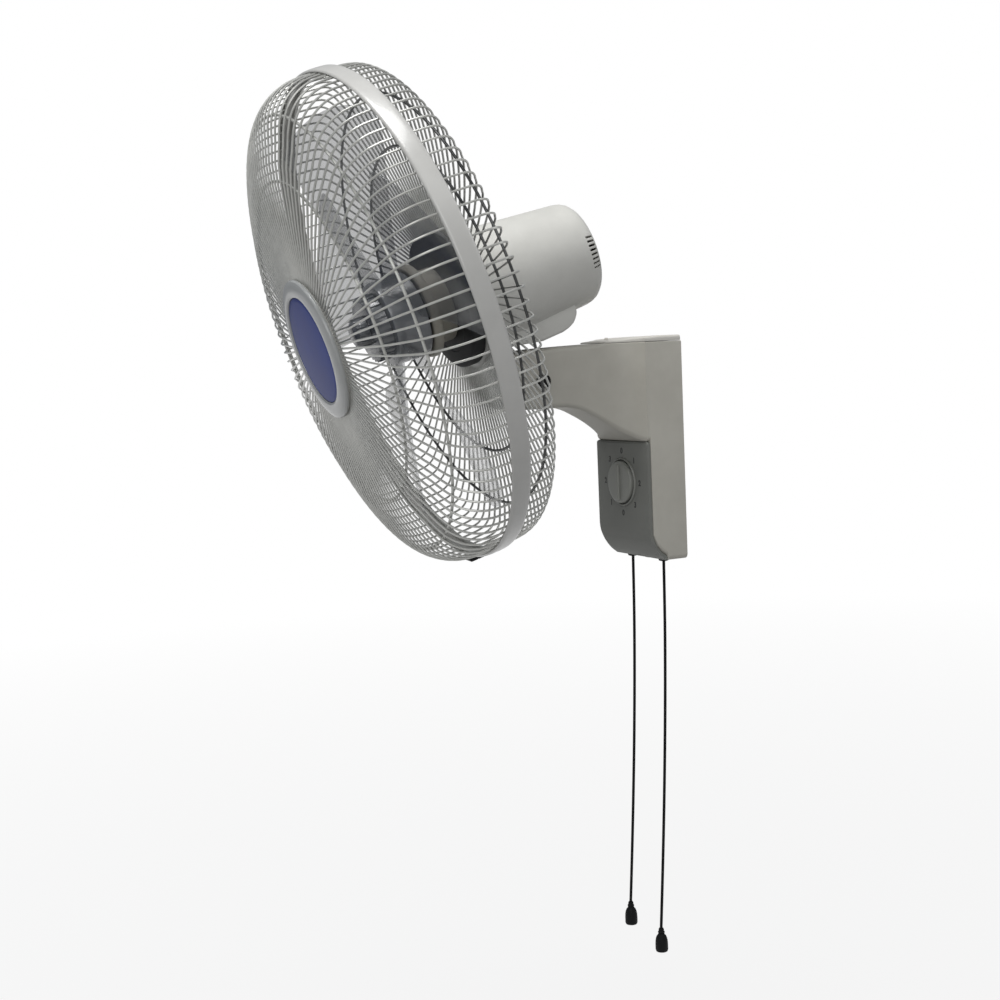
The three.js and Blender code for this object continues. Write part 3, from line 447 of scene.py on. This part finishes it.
for side, x in (("speed", -pull["apart"] / 2), ("swing", pull["apart"] / 2)):
    length = pull["lengths"][side]
    route = cordRoute(x, length)
    curve = bpy.data.curves.new(f"cord_{side}", "CURVE")
    curve.dimensions = "3D"
    spline = curve.splines.new("POLY")
    spline.points.add(len(route) - 1)
    for point, place in zip(spline.points, route):
        point.co = (*mm(*place), 1)
    curve.bevel_depth = pull["diameter"] * 0.0005
    curve.bevel_resolution = 4
    curve.use_fill_caps = True
    curve.materials.append(nylonCord)
    cord = bpy.data.objects.new(f"cord_{side}", curve)
    scene.collection.objects.link(cord)
    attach(cord, f"{side}_pull")
    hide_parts(f"pull_cord_{side}")

    # The bell hangs upside down like a drop, with a ring at its neck and a cupped foot.
    tall, wide = pull["bellLength"], pull["bellRadius"]
    bell = turned(f"bell_{side}", [
        (1.5, 0.6), (2.2, 0.4), (2.6, -0.6), (2.7, -2.4), (3.3, -3), (3.4, -3.8), (2.9, -4.4),
        (3.4, -tall * 0.26), (4.6, -tall * 0.32), (5.5, -tall * 0.42), (6, -tall * 0.54),
        (wide, -tall * 0.68), (wide, -tall * 0.93), (wide - 0.6, -tall), (wide - 1.6, -tall),
        (wide - 2.4, -tall + 1.6), (0, -tall + 2.4), (0, 0.6)], 40)
    end = route[-1]
    bell.data.transform(Matrix.Translation(mm(end[0], end[1], end[2] - 1))
                        @ Matrix.Rotation(math.pi / 2, 4, "X"))
    finished(bell, blackAbs, f"{side}_pull", [f"cord_bell_{side}"])

    eyelet = turned(f"eyelet_{side}", [
        (2.1, -2.6), (3.4, -2.6), (4.6, -2.1), (5, -1.2), (5, -0.3), (3.8, -0.3), (3.8, 4.7),
        (2.1, 4.7)], 40)
    eyelet.data.transform(Matrix.Translation(mm(x, -pull["fromWall"], pull["eyelets"]))
                          @ Matrix.Rotation(math.pi / 2, 4, "X"))
    finished(eyelet, blackAbs, "wall_mount", [f"cord_eyelet_{side}"])
print("cords hung")

# ---- base and arm ----

base = {
    "half": 45.25,
    "bottom": -106,
    "top": 101.8,
    "halfArm": 23.5,
    "flare": (41, 78),
    "corner": 5,
    "noseCorner": 7,
    "boltFromWall": 140,
    "boltHeight": 69.5,
    "slotWidth": 31,
    "slotFloor": 47.6,
}


def halfWidthAt(reach):
    first, last = base["flare"]
    if reach <= first:
        return base["half"]
    if reach >= last:
        return base["halfArm"]
    share = (reach - first) / (last - first)
    return base["halfArm"] + (base["half"] - base["halfArm"]) * (1 - share) ** 3


def section(reach, low, high, half, corner, steps=6):
    loop = []
    most = min(corner, (high - low) / 2.2, half / 1.2)
    for sideX, sideZ, quarter in ((1, 1, 0), (-1, 1, 1), (-1, -1, 2), (1, -1, 3)):
        bend = min(most, 1.2 + max(0, reach - 68) * 0.4) if sideZ > 0 else most  # square under the cover
        for k in range(steps + 1):
            turn = (quarter + k / steps) * math.pi / 2
            loop.append((sideX * (half - bend) + bend * math.cos(turn), -reach,
                         (high - bend if sideZ > 0 else low + bend) + bend * math.sin(turn)))
    return loop


def between(table, value):
    for (a, p), (b, q) in zip(table, table[1:]):
        if a <= value <= b:
            return p + (q - p) * (value - a) / (b - a)
    return table[-1][1]


underside = smoothRoute([(41.5, 8.5), (45, 10.4), (50, 13.4), (56, 17), (64, 22), (74, 28.4),
                         (84, 34), (98, 40.6), (114, 43.8), (134, 43.8), (158, 43.8)], 3)
topside = [(38, 101.8), (74, 101.8), (84, 101.5), (98, 101), (114, 100.3), (134, 99.4), (158, 97.6)]
rows = [section(reach, low, base["top"], base["half"], base["corner"]) for reach, low in (
    (0.3, base["bottom"]), (22.6, base["bottom"]), (23, -101.6), (28.4, -97.6), (33.8, -91.8), (38, -82),
    (38.3, 8.3), (41, 8.3))]
for reach, low in underside:
    rows.append(section(reach, low, between(topside, reach), halfWidthAt(reach), base["corner"]))
for reach, low, high, half in ((162, 44.0, 96.6, 23.3), (166, 44.4, 95, 22.8), (170, 45.2, 92.8, 22.2),
                               (173, 46.5, 90, 21.4), (176, 49, 86.6, 20.2), (179, 53, 82, 18.4),
                               (181, 57, 78, 17.3), (182, 61, 75, 16.4)):
    rows.append(section(reach, low, high, half, base["noseCorner"]))
shell = skinned("shell", rows)
slotHalf = base["slotWidth"] / 2
bolt = (-base["boltFromWall"], base["boltHeight"])
cavity = acrossX("cavity", [(1, 98.5), (-34.7, 98.5), (-34.7, -77), (-30, -88), (-24.5, -95), (-19, -98.5),
                            (-16.6, -102.7), (1, -102.7)], -41.95, 41.95)
duct = block("duct", (-18.5, -125.8, 49.4), (18.5, -31.7, 95.4))
cutWith(shell, cavity, duct,
        block("slot", (-slotHalf, -190, base["slotFloor"]), (slotHalf, -140, 130)),
        barrel("slotBack", "X", 16.2, -slotHalf, slotHalf, bolt),
        block("slotMouth", (-slotHalf, -156.2, 69.5), (slotHalf, -123.8, 130)),
        barrel("boltHole", "X", 3.5, -30, 30, bolt, 24),
        barrel("shaftHole", "Y", 4.2, -50, -30, (0, -31.8), 24),
        *(barrel("cordHole", "Z", 4.1, -110, -98, (side * pull["apart"] / 2, -pull["fromWall"]), 24)
          for side in (-1, 1)),
        barrel("inletHole", "Z", 6.3, -110, -98, (0, -9.6), 24))
softEdges(shell, 0.7, 2, 40)
finished(shell, greyAbs, "wall_mount", ["body_shell"], smooth=35)

# The cover over the back of the arm lies on a fine seam and slopes down to its front, with a
# catch nub on top.
cover = {"low": 102.1, "tall": 5.2, "frontTall": 1.7, "level": 25, "reach": 71}
plan = []
for reach in (0.4, 3, 25, 41, 43, 45, 47.5, 50, 53, 56, 59, 62, 66, cover["reach"] - 2, cover["reach"]):
    inset = 0.3 if reach > 41 else 0.1
    plan.append((halfWidthAt(reach) - inset, -reach))
plan[0] = (plan[0][0] - 1.2, plan[0][1])
plan[-1] = (plan[-1][0] - 1.8, plan[-1][1])
plan += [(-x, y) for x, y in reversed(plan)]
coverLoops = []
for share, inset in ((0, 0), (0.5, 0), (0.72, 0.3), (0.9, 1.1), (1, 2.4)):
    loop = []
    for x, y in plan:
        down = max(0, -y - cover["level"]) / (cover["reach"] - cover["level"])
        tall = cover["tall"] + (cover["frontTall"] - cover["tall"]) * down
        loop.append((x - math.copysign(inset, x), y + (inset if y < -60 else 0),
                     cover["low"] + tall * share))
    coverLoops.append(loop)
lid = skinned("lid", coverLoops)
nub = barrel("nub", "Z", 1.6, 104, 107.2, (0, -55), 32)
softEdges(nub, 0.6, 3)
lid = merged("cover", [lid, nub])
# Its finish is the shell's grey with painted top light, so it renders lighter than the arm.
finished(lid, coverAbsPaintedLight, "wall_mount", ["top_cover"], smooth=40)
print("base and arm done")

# ---- fascia and dial ----

fascia = {"back": 38.3, "front": 42.3, "top": 8, "bend": -74, "half": 44.45}
dial = {"height": -31.8, "knobRadius": 20.4, "ringRadius": 23.3, "gripReach": 17.9, "gripProud": 7.3}
face = [(-fascia["back"], fascia["top"]), (-fascia["front"] + 2, fascia["top"]),
        (-fascia["front"] + 0.6, 7.3), (-fascia["front"], 5.6), (-fascia["front"], fascia["bend"])]
under = smoothRoute([(-fascia["front"], fascia["bend"]), (-41.1, -82), (-36.9, -91.4), (-30.7, -99.6),
                     (-24.6, -104.8)], 5)
face += [(y, z) for y, z in under[1:]]
face += [(-22.9, -106), (-22.9, -102.1), (-28.7, -98.1), (-34.1, -92.2), (-38.3, -82.3)]
panel = acrossX("panel", face, -fascia["half"], fascia["half"])
# Small rounded corners at the top of the panel.
for x in (-1, 1):
    corner = block("corner", (min(x * 41.45, x * 50), -50, 5), (max(x * 41.45, x * 50), -30, 12))
    keep = barrel("keep", "Y", 3, -52, -28, (x * 41.45, 5), 48)
    cutWith(corner, keep)
    cutWith(panel, corner)
cutWith(panel, barrel("seat", "Y", 23.6, -45, -40.7, (0, dial["height"]), 96),
        barrel("bore", "Y", 4.2, -45, -36, (0, dial["height"]), 24))
softEdges(panel, 0.8, 3, 40)
finished(panel, fasciaAbs, "wall_mount", ["control_fascia"], smooth=35)

dialPlace = Matrix.Translation(mm(0, -fascia["front"], dial["height"]))
ring = turned("ring", [(21.6, 1.2), (21.6, -0.8), (21.8, -1.3), (22.3, -1.6), (22.8, -1.4), (23.2, -0.7),
                       (dial["ringRadius"], 0.2), (dial["ringRadius"], 1.2)], 96)
finished(ring, dialAbs, "wall_mount", ["dial_bezel"], dialPlace)
knob = turned("knob", [(0, -0.3), (20.2, -0.3), (dial["knobRadius"], -0.8), (20.3, -3.3), (19.9, -4.1),
                       (19.1, -4.6), (17.6, -4.7), (10, -4.7), (0, -4.7)], 96)
grip = block("grip", (-2.5, -dial["gripProud"], -dial["gripReach"]), (2.5, -4.2, dial["gripReach"]))
for vertex in grip.data.vertices:
    if vertex.co.y < -0.006:
        vertex.co.x *= 0.62
        vertex.co.z *= 0.93
softEdges(grip, 1.1, 4)
knob = merged("knob", [knob, grip])
finished(knob, dialAbs, "speed_dial", ["dial_knob"], dialPlace, 35)

numbers = {"radius": 30, "size": 7.4, "words": "01230123"}
digits = []
for k, word in enumerate(numbers["words"]):
    turn = math.radians(180 + 45 * k)  # clockwise from the bottom
    bpy.ops.object.text_add()
    digit = bpy.context.object
    digit.data.body = word
    digit.data.size = numbers["size"] * 0.001
    digit.data.align_x, digit.data.align_y = "CENTER", "CENTER"
    digit.data.extrude = 0.00006
    digit.data.offset = 0.0003
    bpy.ops.object.convert(target="MESH")
    digit = bpy.context.object
    digit.data.transform(Matrix.Translation(mm(numbers["radius"] * math.sin(turn), -42.36,
                                               dial["height"] + numbers["radius"] * math.cos(turn)))
                         @ Matrix.Rotation(math.pi / 2, 4, "X"))
    digits.append(digit)
digits = editAll(merged("dialNumbers", digits), tidyFaces)
finished(digits, numberInk, "wall_mount")
print("fascia done")

# ---- tilt joint ----

cap = turned("cap", [(0, 6), (4.6, 5.9), (5.8, 5.4), (6.4, 4.4), (6.6, 3), (6.6, 0.2), (0, 0.2)], 48)
flutes = 18
for turn in range(flutes):  # fluted edge
    angle = turn * 2 * math.pi / flutes
    flute = barrel("flute", "Y", 0.7, -1, 7, (6.9 * math.sin(angle), 6.9 * math.cos(angle)), 12)
    cutWith(cap, flute)
cutWith(cap, barrel("capHole", "Y", 3.5, -1, 3.4, (0, 0), 24))
cap.data.transform(Matrix.Translation(mm(23.6, *bolt)) @ Matrix.Rotation(-math.pi / 2, 4, "Z"))
finished(cap, blackAbs, "wall_mount", ["tilt_bolt_cap"])

neck = {"half": 14.5, "radius": 13, "bolt": (115.8, -97.1), "pivot": 86.6, "top": -59.6}
foot = -97.1 + 11
yoke = acrossX("yoke", [(119.8, -85.1), (99.6, foot + 4), (73.6, foot + 4), (73.6, foot - 2),
                        (113.8, -109.1)], -neck["half"], neck["half"])
cutWith(yoke, barrel("boss", "X", neck["radius"], -neck["half"], neck["half"], neck["bolt"], 64),
        barrel("post", "Z", neck["radius"], foot, neck["top"], (0, neck["pivot"]), 64), operation="UNION")
cutWith(yoke, barrel("yokeHole", "X", 3.5, -20, 20, neck["bolt"], 24),
        barrel("yokeBore", "Z", 4.9, neck["top"] - 16, neck["top"] + 2, (0, neck["pivot"]), 32))
softEdges(yoke, 1.0, 3, 40)
finished(yoke, motorAbs, "tilt_yoke", ["tilt_bracket"], neckPlace, 40)
print("tilt joint done")

# ---- motor ----

motor = {"front": 74.2, "rear": 201, "radius": 56.4, "gearHalf": 28, "vents": 8, "ventPitch": 4.9}
drum = turned("drum", [
    (0, motor["front"]), (55.2, motor["front"]), (56.1, 74.7), (motor["radius"], 75.8), (56.1, 79),
    (48.75, 186), (48.3, 190), (47.6, 193.6), (46.2, 196.6), (44, 199), (41.2, 200.4), (38, motor["rear"]),
    (0, motor["rear"])], 128)
gearBox = acrossX("gearBox", [
    (motor["front"], -20), (motor["front"], -57), (100.1, -57), (128.5, -62.2), (150, -61.2), (156, -59.8),
    (160, -58.2), (163, -56.6), (166, -53.6), (168.2, -50.6), (169.5, -48), (169.5, -20)],
    -motor["gearHalf"], motor["gearHalf"])
softEdges(gearBox, 4.5, 5, 20)
cutWith(drum, gearBox, operation="UNION")
inside = turned("inside", [(0, 72), (53.8, 72), (45.6, 188), (38, 198.4), (0, 198.4)], 96)
gearInside = acrossX("gearInside", [
    (72, -20), (72, -54.4), (100, -54.4), (128.5, -59.6), (153, -57.4), (160, -54.2), (166.5, -46),
    (166.5, -20)], -25.4, 25.4)
cutWith(drum, inside, gearInside)
for k in range(motor["vents"]):
    turn = math.radians((k - (motor["vents"] - 1) / 2) * motor["ventPitch"])
    vent = block("vent", (-60, 189.6, -1), (60, 197.6, 1))
    softEdges(vent, 0.9, 3)
    vent.data.transform(Matrix.Rotation(turn, 4, "Y"))
    cutWith(drum, vent)
cutWith(drum, barrel("pinBore", "Z", 4.9, -62, -50, (0, 86.6), 32))
softEdges(drum, 0.5, 2, 45)
boss = turned("boss", [(11.3, 186.4), (14, 186.4), (14, 199), (11.3, 199)], 64)
drum = merged("motorCasing", [drum, boss])
finished(drum, motorAbs, "fan_head", ["motor_casing"], headPlace, 35)

front = turned("motorFront", [
    (5.5, 66.9), (21, 66.9), (21, 31.6), (21.4, 31), (25.2, 31), (25.7, 31.6), (25.7, 69.9), (54.8, 69.9),
    (55.8, 70.9), (55.8, 73.9), (14, 73.9), (14, 83.2), (11.3, 83.2), (11.3, 74.9), (5.5, 74.9)], 96)
finished(front, blackAbs, "fan_head", ["motor_front_cover"], headPlace)
print("motor done")

# ---- guard ----

guard = {
    "wires": 112,
    "wireRadius": 0.95,
    "front": [(4, 221.6), (-8, 221.4), (-18, 219.8), (-27, 216), (-35, 210), (-41, 202.5), (-45.5, 193),
              (-50, 178.5), (-58.2, 146.5), (-66.2, 57)],
    "rear": [(14, 221.6), (30, 221.2), (38, 220), (43, 217), (46.5, 212.5), (48.6, 206.5), (52.9, 191.7),
             (60, 143.3), (68.4, 60)],
}


def cage(name, route, hub):
    path = smoothRoute([(0, depth, radius) for depth, radius in route], 3)
    strands = ringOf(wireAlong(name, path, guard["wireRadius"], 1), guard["wires"])
    return merged(name, [strands, turned(name + "Hub", hub, 112)])


frontCage = cage("frontCage", guard["front"], [(51, -67.2), (62, -67.2), (62, -64.8), (51, -64.8)])
frontEdge = turned("frontEdge", [(220.4, 2.3), (223.4, 2.3), (223.4, 4.7), (220.4, 4.7)], 144)
finished(merged("frontCage", [frontCage, frontEdge]), wirePaint, "fan_head", ["front_guard"], headPlace, 50)
rearCage = cage("rearCage", guard["rear"], [(26, 67.2), (65.4, 67.2), (66, 67.8), (66, 69.4), (26, 69.4)])
rearEdge = turned("rearEdge", [(220.4, 12.7), (223.4, 12.7), (223.4, 15.1), (220.4, 15.1)], 144)
finished(merged("rearCage", [rearCage, rearEdge]), wirePaint, "fan_head", ["rear_guard"], headPlace, 50)

# The two rear rings take the darkened wire finish, which is painted shade, not a black paint.
for name, node, radius, depth, thick, finish in (
        ("frontRingOuter", "front_ring_outer", 198.8, -41.1, 1.3, wirePaint),
        ("frontRingInner", "front_ring_inner", 146.5, -56.0, 1.3, wirePaint),
        ("rearRingOuter", "rear_ring_outer", 191.7, 50.7, 1.3, wireShadedPaint),
        ("rearRingInner", "rear_ring_inner", 143.3, 57.8, 1.3, wireShadedPaint)):
    finished(hoop(name, radius, depth, thick), finish, "fan_head", [node], headPlace)

band = turned("band", [
    (223, 0.1), (223.6, 0), (224.3, 0.35), (224.9, 1.1), (225.2, 2.2), (225.35, 4.5), (225.4, 8.7),
    (225.35, 12.9), (225.2, 15.2), (224.9, 16.3), (224.3, 17.05), (223.6, 17.4), (223, 17.3), (223, 15.7),
    (223.7, 15.7), (223.7, 1.7), (223, 1.7)], 192)
finished(band, rimPlastic, "fan_head", ["rim_band"], headPlace)

clampCase = block("clampCase", (-7.5, 1.2, -231.7), (7.5, 16.2, -225.7))
softEdges(clampCase, 1.2, 3)
cutWith(clampCase, block("clampGap", (-9, 8.2, -233), (9, 9.2, -227.2)))
finished(clampCase, blackAbs, "fan_head", ["rim_clamp"], headPlace)

clampPlate = turned("clampPlate", [
    (26, 66.9), (34, 66.9), (34, 57.7), (57, 57.7), (57, 66.9), (61.4, 66.9), (62, 66.3), (62, 57.5),
    (61.6, 56), (60.6, 54.9), (59.4, 54.5), (46.4, 54.5), (45.9, 54.9), (45.4, 54.5), (26, 54.5)], 128)
finished(clampPlate, dullBlackAbs, "fan_head", ["guard_clamp"], headPlace)

# The nut that holds the rear guard: a sleeve with a ribbed flange.
nut = turned("nut", [
    (26, 54.2), (33.6, 54.2), (34, 53.8), (34, 38), (34.6, 37.3), (42.2, 36.1), (42.8, 35.6), (43, 34.8),
    (42.8, 31.4), (42.2, 29.6), (41.3, 28.4), (40.4, 28), (38.4, 28), (37.8, 28.5), (37.6, 29.2), (37.6, 33),
    (29, 33), (29, 32.4), (28.6, 32), (26, 32)], 144)
nutFlutes = 40
cutWith(nut, ringOf(barrel("nutFlute", "Y", 0.9, 29.8, 40, (0, 43.5), 10), nutFlutes))
finished(nut, nutAbs, "fan_head", ["guard_nut"], headPlace, 35)

badge = {"outer": 63, "inner": 48}
bezel = turned("bezel", [
    (46, -67.5), (badge["outer"], -67.5), (63.4, -68.2), (63.4, -69.4), (62.6, -70.8), (60.8, -71.7),
    (58, -72.4), (54, -72.95), (51, -73), (49.4, -72.7), (48.6, -72.1), (48.3, -71.2), (48.3, -69.2),
    (46, -69.2)], 144)
finished(bezel, bezelLacquer, "fan_head", ["badge_bezel"], headPlace)
disc = turned("disc", [
    (0, -69.5), (47.6, -69.5), (badge["inner"], -69.9), (badge["inner"], -71.3), (47.4, -71.75), (44, -72.2),
    (36, -72.8), (24, -73.35), (12, -73.7), (0, -73.8)], 128)
finished(disc, badgePlastic, "fan_head", ["badge_disc"], headPlace)
print("guard done")

# ---- blades ----

blades = {
    "count": 5,
    "tip": 190,
    "root": 36,
    "thick": 2.2,
    "spread": 54,
    "rootDepth": (-2, 24),
    "tipDepth": (-13, 40),
    "phase": 36,
}


def bladeSheet(rows=14, columns=18):
    points, faces = [], []
    for i in range(rows + 1):
        share = i / rows
        for k in range(columns + 1):
            across = k / columns
            side = abs(2 * across - 1)
            tip = blades["tip"] - 7 * side ** 7  # rounded corners at the tip
            radius = blades["root"] + (tip - blades["root"]) * share
            narrowing = 0.86 + 0.14 * share - 0.05 * max(0, (share - 0.86) / 0.14) ** 2
            turn = math.radians(blades["spread"] * (across * narrowing - 0.5))
            front = blades["rootDepth"][0] + (blades["tipDepth"][0] - blades["rootDepth"][0]) * share
            depth = blades["rootDepth"][1] + (blades["tipDepth"][1] - blades["rootDepth"][1]) * share
            rise = depth * (1 - (1 - across) ** 1.4)
            points.append((radius * math.sin(turn), front + rise - blades["thick"] / 2,
                           radius * math.cos(turn)))
    for i in range(rows):
        for k in range(columns):
            a = i * (columns + 1) + k
            faces.append((a, a + 1, a + columns + 2, a + columns + 1))
    return points, faces


points, faces = bladeSheet()
sheet = editAll(fromPoints("sheet", points, (), faces), tidyFaces)
applied(sheet, "SOLIDIFY", thickness=blades["thick"] * 0.001, offset=0, use_even_offset=True)
softEdges(sheet, 0.6, 2, 50)
ringOf(sheet, blades["count"])
sheet.data.transform(Matrix.Rotation(math.pi / blades["count"], 4, "Y"))
phase = Matrix.Rotation(math.radians(blades["phase"]), 4, "Y")
finished(named(sheet, "blades"), smokedBlade, "blade_rotor", ["fan_blade"], headPlace @ phase, 35)
hub = turned("hub", [
    (4.3, -20), (26.4, -20), (27.8, -19.6), (28.6, -18.6), (29, -17), (29, -6.8), (29.4, -6.2), (36, -6),
    (37.4, -5.3), (38, -3.6), (38.6, 12), (39, 26), (36.5, 26), (35, -1), (11, -1), (11, 23), (4.3, 23)], 96)
rib = block("rib", (-0.6, -19, 28.4), (0.6, -6.4, 30.2))
softEdges(rib, 0.4, 2)
ribs = ringOf(rib, 30)
finished(merged("bladeHub", [hub, ribs]), smokedHub, "blade_rotor", (), headPlace @ phase, 35)

spinner = turned("spinner", [
    (0, -33), (8.6, -33), (9.8, -32.6), (11.4, -31.2), (12.4, -29.4), (13, -26), (13.4, -20.3), (4.3, -20.3),
    (4.3, -28.4), (0, -28.4)], 64)
finger = block("finger", (-0.7, -31, 12.2), (0.7, -20.6, 13.9))
softEdges(finger, 0.4, 2)
spinner = merged("spinner", [spinner, ringOf(finger, 12)])
finished(spinner, smokedHub, "blade_rotor", ["spinner_nut"], headPlace @ phase, 35)
print("blades done")

# ---- finishes of the solids that are kept ----

kept = {
    "wall_plate": zincSteel, "wall_screw_upper": zincSteel, "wall_screw_lower": zincSteel,
    "dial_shaft": zincSteel, "pivot_pin": zincSteel, "tilt_bolt": zincSteel, "tilt_nut": zincSteel,
    "front_bearing": zincSteel, "rear_bearing": zincSteel, "rotor": zincSteel, "motor_shaft": zincSteel,
    "gear_plate": zincSteel, "drive_pin": zincSteel, "stator": winding, "worm_wheel": brass,
    "speed_switch": blackAbs, "run_capacitor": blackAbs, "lead_inlet": blackAbs, "neck_washer": blackAbs,
    "terminal_block": creamAbs, "pull_switch_speed": creamAbs, "pull_switch_swing": creamAbs,
    "switch_lever_speed": nylonCord, "switch_lever_swing": nylonCord,
}
for node, finish in kept.items():
    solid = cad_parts[node]
    solid.data.materials.clear()
    solid.data.materials.append(finish)
print("kept solids finished")

# ---- floor, backdrop and light ----

studio = {"floor": -0.62, "sky": 0.32, "key": 38, "fill": 15, "edge": 5}
bpy.ops.object.select_all(action="DESELECT")
bpy.ops.mesh.primitive_plane_add(size=24, location=(0, 0, studio["floor"]))
floor = named(bpy.context.object, "floor")
bpy.ops.object.transform_apply(location=True, rotation=True, scale=True)
paper = bpy.data.materials.new("whitePaper")
paper.use_nodes = True
tree = paper.node_tree
tree.nodes.clear()
rays = addNode(tree, "ShaderNodeLightPath")
seen = addNode(tree, "ShaderNodeMath", settings={"operation": "MAXIMUM"},
               links={0: rays.outputs["Is Camera Ray"], 1: rays.outputs["Is Glossy Ray"]})
seen = addNode(tree, "ShaderNodeMath", settings={"operation": "MAXIMUM"},
               links={0: seen.outputs["Value"], 1: rays.outputs["Is Transmission Ray"]})
spread = addNode(tree, "ShaderNodeVectorMath", settings={"operation": "LENGTH"},
                 links={0: addNode(tree, "ShaderNodeTexCoord").outputs["Object"]})
fade = addNode(tree, "ShaderNodeMapRange", links={"Value": spread.outputs["Value"]},
               values={"From Min": 0.3, "From Max": 3.0, "To Min": 0.86, "To Max": 1.0})
part = addNode(tree, "ShaderNodeMath", settings={"operation": "MULTIPLY"},
               links={0: seen.outputs["Value"], 1: fade.outputs["Result"]})
matt = addNode(tree, "ShaderNodeBsdfDiffuse", values={"Color": linear("#9C9C9C")})
glow = addNode(tree, "ShaderNodeEmission", values={"Color": (1, 1, 1, 1), "Strength": 1.0})
mix = addNode(tree, "ShaderNodeMixShader", links={"Fac": part.outputs["Value"], 1: matt.outputs["BSDF"],
                                                  2: glow.outputs["Emission"]})
addNode(tree, "ShaderNodeOutputMaterial", links={"Surface": mix.outputs["Shader"]})
floor.data.materials.append(paper)

world = bpy.data.worlds.new("studio")
scene.world = world
world.use_nodes = True
tree = world.node_tree
tree.nodes.clear()
rays = addNode(tree, "ShaderNodeLightPath")
seen = addNode(tree, "ShaderNodeMath", settings={"operation": "MAXIMUM"},
               links={0: rays.outputs["Is Camera Ray"], 1: rays.outputs["Is Transmission Ray"]})
dim = addNode(tree, "ShaderNodeBackground", values={"Color": (0.92, 0.95, 1, 1), "Strength": studio["sky"]})
white = addNode(tree, "ShaderNodeBackground", values={"Color": (1, 1, 1, 1), "Strength": 1.0})
mix = addNode(tree, "ShaderNodeMixShader", links={"Fac": seen.outputs["Value"], 1: dim.outputs["Background"],
                                                  2: white.outputs["Background"]})
addNode(tree, "ShaderNodeOutputWorld", links={"Surface": mix.outputs["Shader"]})


def softLamp(name, place, target, size, power):
    lamp = bpy.data.lights.new(name, "AREA")
    lamp.shape = "DISK"
    lamp.size = size
    lamp.energy = power
    piece = bpy.data.objects.new(name, lamp)
    scene.collection.objects.link(piece)
    aim = (Vector(target) - Vector(place)).to_track_quat("-Z", "Y")
    piece.matrix_world = Matrix.Translation(place) @ aim.to_matrix().to_4x4()


softLamp("key", (0.15, -0.7, 2.2), (0, -0.2, 0), 1.2, studio["key"])
softLamp("fill", (1.9, -1.5, 1.0), (0, -0.2, 0), 1.4, studio["fill"])
softLamp("edge", (1.2, 1.2, 1.4), (0, -0.1, 0.1), 0.9, studio["edge"])
print("light set")
